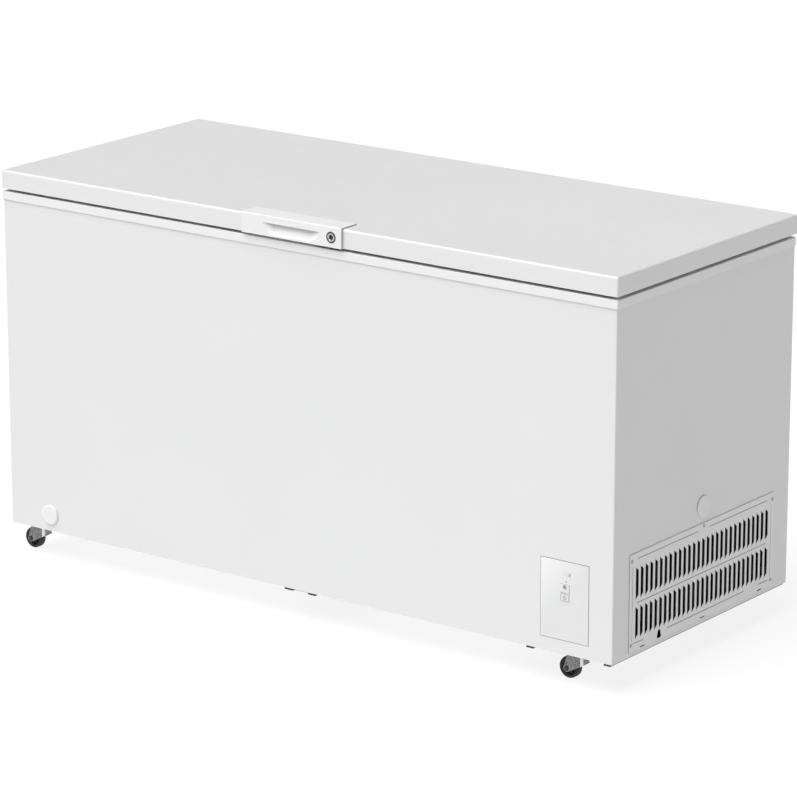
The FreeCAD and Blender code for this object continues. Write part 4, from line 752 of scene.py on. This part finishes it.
# ---------------------------------------------------------------- lock
def lock():
    """Black escutcheon round a bright ring, and a bright-rimmed plug dished round its keyway."""
    low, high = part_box("lock_bezel")
    face = Vector(((low.x + high.x) / 2, low.y, (low.z + high.z) / 2))

    def turned(name, profile, origin, finish, body, slot, replaced):
        shape = Shape()
        shape.lathe([(r * MM, h * MM) for r, h in profile], origin, (0, 1, 0), 64)
        return piece(name, shape, finish, body, replaced, sharp=40)

    turned("lock_escutcheon", [(9.4, 0.5), (9.7, 0.15), (10.2, 0.0), (11.5, 0.0), (11.95, 0.2),
                               (12.2, 0.6), (12.2, 1.0), (10.4, 1.0), (10.4, 10.0), (9.4, 10.0)],
           face, FINISHES["black_plastic"], "lid", "black_plastic", ("lock_bezel",))
    turned("lock_bright_ring", [(8.05, 0.6), (8.3, 0.2), (8.8, 0.05), (9.2, 0.2), (9.35, 0.5),
                                (9.35, 10.0), (8.05, 10.0)],
           face, FINISHES["chrome"], "lid", "chrome", ())
    face = Vector((face.x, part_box("lock_cylinder")[0].y, face.z))
    turned("lock_plug_rim", [(5.5, 0.7), (5.8, 0.25), (6.3, 0.05), (7.4, 0.05), (7.95, 0.5),
                             (8.0, 12.8), (5.5, 12.8)],
           face, FINISHES["chrome"], "lock", "chrome", ())
    plug = turned("lock_plug", [(0.0, 1.1), (3.2, 1.1), (4.8, 0.85), (5.45, 0.6), (5.45, 12.8),
                                (0.0, 12.8)],
                  face, FINISHES["black_plastic"], "lock", "black_plastic", ("lock_cylinder",))
    keyway = Shape()
    wide, tall, deep = 1.2 * MM, 4.0 * MM, 5.8 * MM
    keyway.prism([(-wide, -tall), (wide, -tall), (wide, tall), (-wide, tall)],
                 face, (0, 1, 0), -1.0 * MM, deep)
    sink(plug, keyway)


# ---------------------------------------------------------------- casters
def hexagon(radius):
    return [(radius * math.cos(math.radians(60 * k + 30)),
             radius * math.sin(math.radians(60 * k + 30))) for k in range(6)]


def caster_wheel(corner):
    """Rubber tyre with rounded shoulders on a hub with five spokes each side."""
    low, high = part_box("caster_wheel_" + corner)
    middle = (low + high) / 2
    rim = (high.z - low.z) / 2
    half = 9 * MM
    hub_half = (high.y - low.y) / 2
    body = "caster_wheel_body_" + corner
    tyre = Shape()
    shoulder = 3.4 * MM
    inner = rim - 6.2 * MM
    outline = [(inner, -half + 1.0 * MM), (inner + 0.8 * MM, -half + 0.2 * MM)]
    outline += arc((rim - shoulder, -half + shoulder), shoulder, 270, 360, 5)
    outline += arc((rim - shoulder, half - shoulder), shoulder, 0, 90, 5)
    outline += [(inner + 0.8 * MM, half - 0.2 * MM), (inner, half - 1.0 * MM)]
    tyre.lathe(outline, middle, (0, 1, 0), 56)
    piece("caster_tyre_" + corner, tyre, FINISHES["wheel_black"], body,
          ("caster_wheel_" + corner,), sharp=40)
    hub = Shape()
    bore = 4.1 * MM
    web = 2.2 * MM
    felloe = inner - 1.8 * MM
    boss = 8 * MM
    hub.lathe([(bore, -hub_half), (boss - 0.6 * MM, -hub_half), (boss, -hub_half + 0.6 * MM),
               (boss + 0.6 * MM, -web), (felloe, -web), (felloe + 0.3 * MM, -half + 2.2 * MM),
               (inner, -half + 1.4 * MM), (inner, half - 1.4 * MM),
               (felloe + 0.3 * MM, half - 2.2 * MM), (felloe, web), (boss + 0.6 * MM, web),
               (boss, hub_half - 0.6 * MM), (boss - 0.6 * MM, hub_half), (bore, hub_half)],
              middle, (0, 1, 0), 48)
    for k in range(5):
        angle = math.tau * k / 5 + 0.3
        out = Vector((math.cos(angle), 0, math.sin(angle)))
        across = Vector((-math.sin(angle), 0, math.cos(angle))) * 0.9 * MM
        for side in (-1, 1):
            reach = Vector((0, side * (half - 3.0 * MM), 0))
            foot = Vector((0, side * web * 0.9, 0))
            start = middle + out * (boss - 0.2 * MM)
            end = middle + out * (felloe + 0.1 * MM)
            hub.skin([[start - across + foot, start + across + foot,
                       start + across + reach, start - across + reach],
                      [end - across + foot, end + across + foot,
                       end + across + reach, end - across + reach]])
    piece("caster_hub_" + corner, hub, FINISHES["black_plastic"], body, sharp=35)


def caster_bolt(corner):
    """Axle with a hexagon head on a washer at each end."""
    low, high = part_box("caster_axle_" + corner)
    middle = (low + high) / 2
    half = (high.y - low.y) / 2
    shank, washer, hexagonal, head_thick = 4 * MM, 6 * MM, 5.2 * MM, 1.6 * MM
    shape = Shape()
    shape.lathe([(0, -half), (shank, -half), (shank, half), (0, half)], middle, (0, 1, 0), 24)
    for side in (-1, 1):
        face = middle + Vector((0, side * (half - head_thick), 0))
        axis = (0, side, 0)
        shape.lathe([(0, -0.02 * MM), (washer, -0.02 * MM), (washer, 0.35 * MM),
                     (washer - 0.2 * MM, 0.5 * MM), (0, 0.5 * MM)], face, axis, 32)
        shape.prism(hexagon(hexagonal), face, axis, 0.4 * MM, 1.35 * MM)
        shape.lathe([(0, 1.2 * MM), (4.3 * MM, 1.2 * MM), (4.1 * MM, 1.58 * MM), (0, 1.58 * MM)],
                    face, axis, 24)
    piece("caster_bolt_" + corner, shape, FINISHES["black_steel"], "caster_fork_body_" + corner,
          ("caster_axle_" + corner,), sharp=25)


# ---------------------------------------------------------------- control panel prints
INK_LIFT = 0.06 * MM


def printed(name, body, finish, draw, centre):
    """Thin raised ink on the face through centre that looks to the front; draw gets a bar maker."""
    shape = Shape()

    def bar(u_start, v_start, u_end, v_end, width=0.55):
        """A straight stroke, in millimetres from the mark's centre."""
        start, end = Vector((u_start, v_start)), Vector((u_end, v_end))
        along = (end - start).normalized()
        across = Vector((-along.y, along.x)) * width / 2
        outline = [start - across, end - across, end + across, start + across]
        shape.skin([
            [centre + Vector((u * MM, depth, v * MM)) for u, v in outline]
            for depth in (0.0, -INK_LIFT)])

    draw(bar)
    return piece(name, shape, finish, body)


def stroke(bar, points, width=0.55):
    for start, end in zip(points, points[1:]):
        bar(*start, *end, width)


def snowflake(bar):
    """Six arms with small side twigs."""
    for k in range(6):
        angle = math.radians(60 * k + 30)
        out = Vector((math.cos(angle), math.sin(angle)))
        bar(0, 0, *(out * 5.4), 0.95)
        for turn in (-50, 50):
            twig = math.radians(60 * k + 30 + turn)
            knee = out * 3.1
            bar(*knee, *(knee + Vector((math.cos(twig), math.sin(twig))) * 1.9), 0.8)


def power_mark(bar):
    """Open ring with an upright bar."""
    stroke(bar, arc((0, -0.4), 3.8, 125, 415, 22), 1.0)
    bar(0, 0.3, 0, 4.7, 1.1)


def key_outline(bar):
    """Rounded square round a key."""
    width, height, corner = 9.6, 7.2, 2.4
    points = []
    for quarter, (u, v) in enumerate(((1, 1), (-1, 1), (-1, -1), (1, -1))):
        middle = (u * (width - corner), v * (height - corner))
        points += arc(middle, corner, 90 * quarter, 90 * (quarter + 1), 5)
    stroke(bar, points + points[:1], 0.6)


SEGMENTS = {"1": "bc", "8": "abcdefg"}


def digits(bar):
    """Two seven-segment figures."""
    half_w, half_h = 1.75, 3.4
    ends = {
        "a": (-half_w, half_h, half_w, half_h), "g": (-half_w, 0, half_w, 0),
        "d": (-half_w, -half_h, half_w, -half_h), "f": (-half_w, half_h, -half_w, 0),
        "b": (half_w, half_h, half_w, 0), "e": (-half_w, 0, -half_w, -half_h),
        "c": (half_w, 0, half_w, -half_h)}
    for place, figure in ((-2.9, "1"), (2.9, "8")):
        for key in SEGMENTS[figure]:
            u_start, v_start, u_end, v_end = ends[key]
            shrink = 0.84
            middle_u, middle_v = (u_start + u_end) / 2, (v_start + v_end) / 2
            bar(place + middle_u + (u_start - middle_u) * shrink,
                middle_v + (v_start - middle_v) * shrink,
                place + middle_u + (u_end - middle_u) * shrink,
                middle_v + (v_end - middle_v) * shrink, 0.75)
    bar(-7.6, 0, -5.6, 0, 0.6)


SNOWFLAKE_RISE = 2.6 * MM
DISPLAY_SPOT = (5 * MM, 24 * MM)
DIGITS_SHIFT = (4 * MM, -2.5 * MM)
LAMP_SPOT = (3 * MM, 15 * MM)


def panel_prints():
    """Marks on the two keys, the lamp's lens, and the small temperature display above them."""
    fascia_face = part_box("panel_fascia")[0].y
    for body, rise, marks in (("mode_button", SNOWFLAKE_RISE, (snowflake,)),
                              ("power_button", 0.0, (power_mark, key_outline))):
        low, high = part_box(body)
        centre = Vector(((low.x + high.x) / 2, low.y, (low.z + high.z) / 2 + rise))
        for mark in marks:
            printed("print_" + mark.__name__, body, PRINT_GREY, mark, centre)
    low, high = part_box("mode_button")
    spot = Vector(((low.x + high.x) / 2 + DISPLAY_SPOT[0], fascia_face,
                   high.z + DISPLAY_SPOT[1]))

    def window(bar):
        bar(-11, 0, 11, 0, 17.0)

    lamp = Shape()
    lamp.lathe([(0.0, 0.0), (0.8, 0.05), (1.3, 0.3), (1.5, 0.8), (1.5, 2.5), (0.0, 2.5)],
               Vector(), (0, 1, 0), 32)
    place = Vector(((low.x + high.x) / 2 + LAMP_SPOT[0], fascia_face,
                    (low.z + high.z) / 2 + LAMP_SPOT[1]))
    lamp.points = [place + point * MM for point in lamp.points]
    piece("status_lamp", lamp, LAMP_GREY, "cabinet")
    printed("display_window", "cabinet", DISPLAY_TINT, window, spot)
    printed("display_digits", "cabinet", DIGIT_GREY, digits,
            spot + Vector((DIGITS_SHIFT[0], -INK_LIFT, DIGITS_SHIFT[1])))


# ---------------------------------------------------------------- stage, light and camera
FLOOR_RADIUS = 60.0
FLOOR_DROP = 0.2 * MM
HORIZON_LEVEL = 0.97
HORIZON_HEIGHT = 0.12
SKY_LEVEL = 0.15
KEY_ENERGY = 3.74
KEY_SPREAD = 50
KEY_FROM = (-0.16, -0.413, 0.90)
CAMERA_AZIMUTH = 36.709
CAMERA_ELEVATION = 15.785
CAMERA_DISTANCE = 9.0982
CAMERA_AIM = (0.0159, 0.0031, 0.4251)
CAMERA_LENS = 185.74


def floor():
    """A wide pale disc just under the wheels."""
    build = bmesh.new()
    bmesh.ops.create_circle(build, cap_ends=True, segments=96, radius=FLOOR_RADIUS)
    mesh = bpy.data.meshes.new("floor")
    build.to_mesh(mesh)
    build.free()
    item = bpy.data.objects.new("floor", mesh)
    item.location = (0, 0, -FLOOR_DROP)
    finish = Finish("floor_pale", (0.13, 0.13, 0.13), 0.85, Emission_Color=(1.0, 1.0, 1.0, 1.0),
                    Emission_Strength=0.86)
    finish.mottled(finish.noise(0.8, 3.0), 0.995, 1.005)
    finish.varied(finish.noise(4.0, 3.0), 0.8, 0.92)
    mesh.materials.append(finish.material)
    bpy.context.scene.collection.objects.link(item)


def lights():
    """A bright horizon, a softer sky and one broad key light from the front."""
    world = bpy.data.worlds.new("studio")
    world.use_nodes = True
    bpy.context.scene.world = world
    nodes, links = world.node_tree.nodes, world.node_tree.links
    sky = nodes["Background"]
    sky.inputs["Color"].default_value = (1.0, 1.0, 1.0, 1.0)
    place = nodes.new("ShaderNodeTexCoord")
    split = nodes.new("ShaderNodeSeparateXYZ")
    fade = nodes.new("ShaderNodeMapRange")
    fade.interpolation_type = "SMOOTHSTEP"
    for socket, value in (("From Min", 0.0), ("From Max", HORIZON_HEIGHT),
                          ("To Min", HORIZON_LEVEL), ("To Max", SKY_LEVEL)):
        fade.inputs[socket].default_value = value
    links.new(place.outputs["Generated"], split.inputs["Vector"])
    links.new(split.outputs["Z"], fade.inputs["Value"])
    links.new(fade.outputs["Result"], sky.inputs["Strength"])
    key = bpy.data.lights.new("key", "SUN")
    key.energy = KEY_ENERGY
    key.angle = math.radians(KEY_SPREAD)
    lamp = bpy.data.objects.new("key", key)
    lamp.rotation_mode = "QUATERNION"
    lamp.rotation_quaternion = Vector(KEY_FROM).to_track_quat("Z", "Y")
    bpy.context.scene.collection.objects.link(lamp)


def camera():
    """A long lens from the front right, a little above the lid."""
    azimuth, elevation = math.radians(CAMERA_AZIMUTH), math.radians(CAMERA_ELEVATION)
    back = Vector((math.sin(azimuth) * math.cos(elevation),
                   -math.cos(azimuth) * math.cos(elevation), math.sin(elevation)))
    data = bpy.data.cameras.new("camera")
    data.lens = CAMERA_LENS
    data.sensor_width = 36.0
    data.clip_end = 200.0
    item = bpy.data.objects.new("camera", data)
    item.location = Vector(CAMERA_AIM) + back * CAMERA_DISTANCE
    item.rotation_mode = "QUATERNION"
    item.rotation_quaternion = (-back).to_track_quat("-Z", "Y")
    bpy.context.scene.collection.objects.link(item)
    bpy.context.scene.camera = item


bpy.context.scene.view_settings.view_transform = "Standard"
paint_cad_nodes()
basket()
lid_seal()
lid_lining_panel()
screw_heads()
lock()
for corner in CORNERS:
    caster_wheel(corner)
    caster_bolt(corner)
panel_prints()
floor()
lights()
camera()
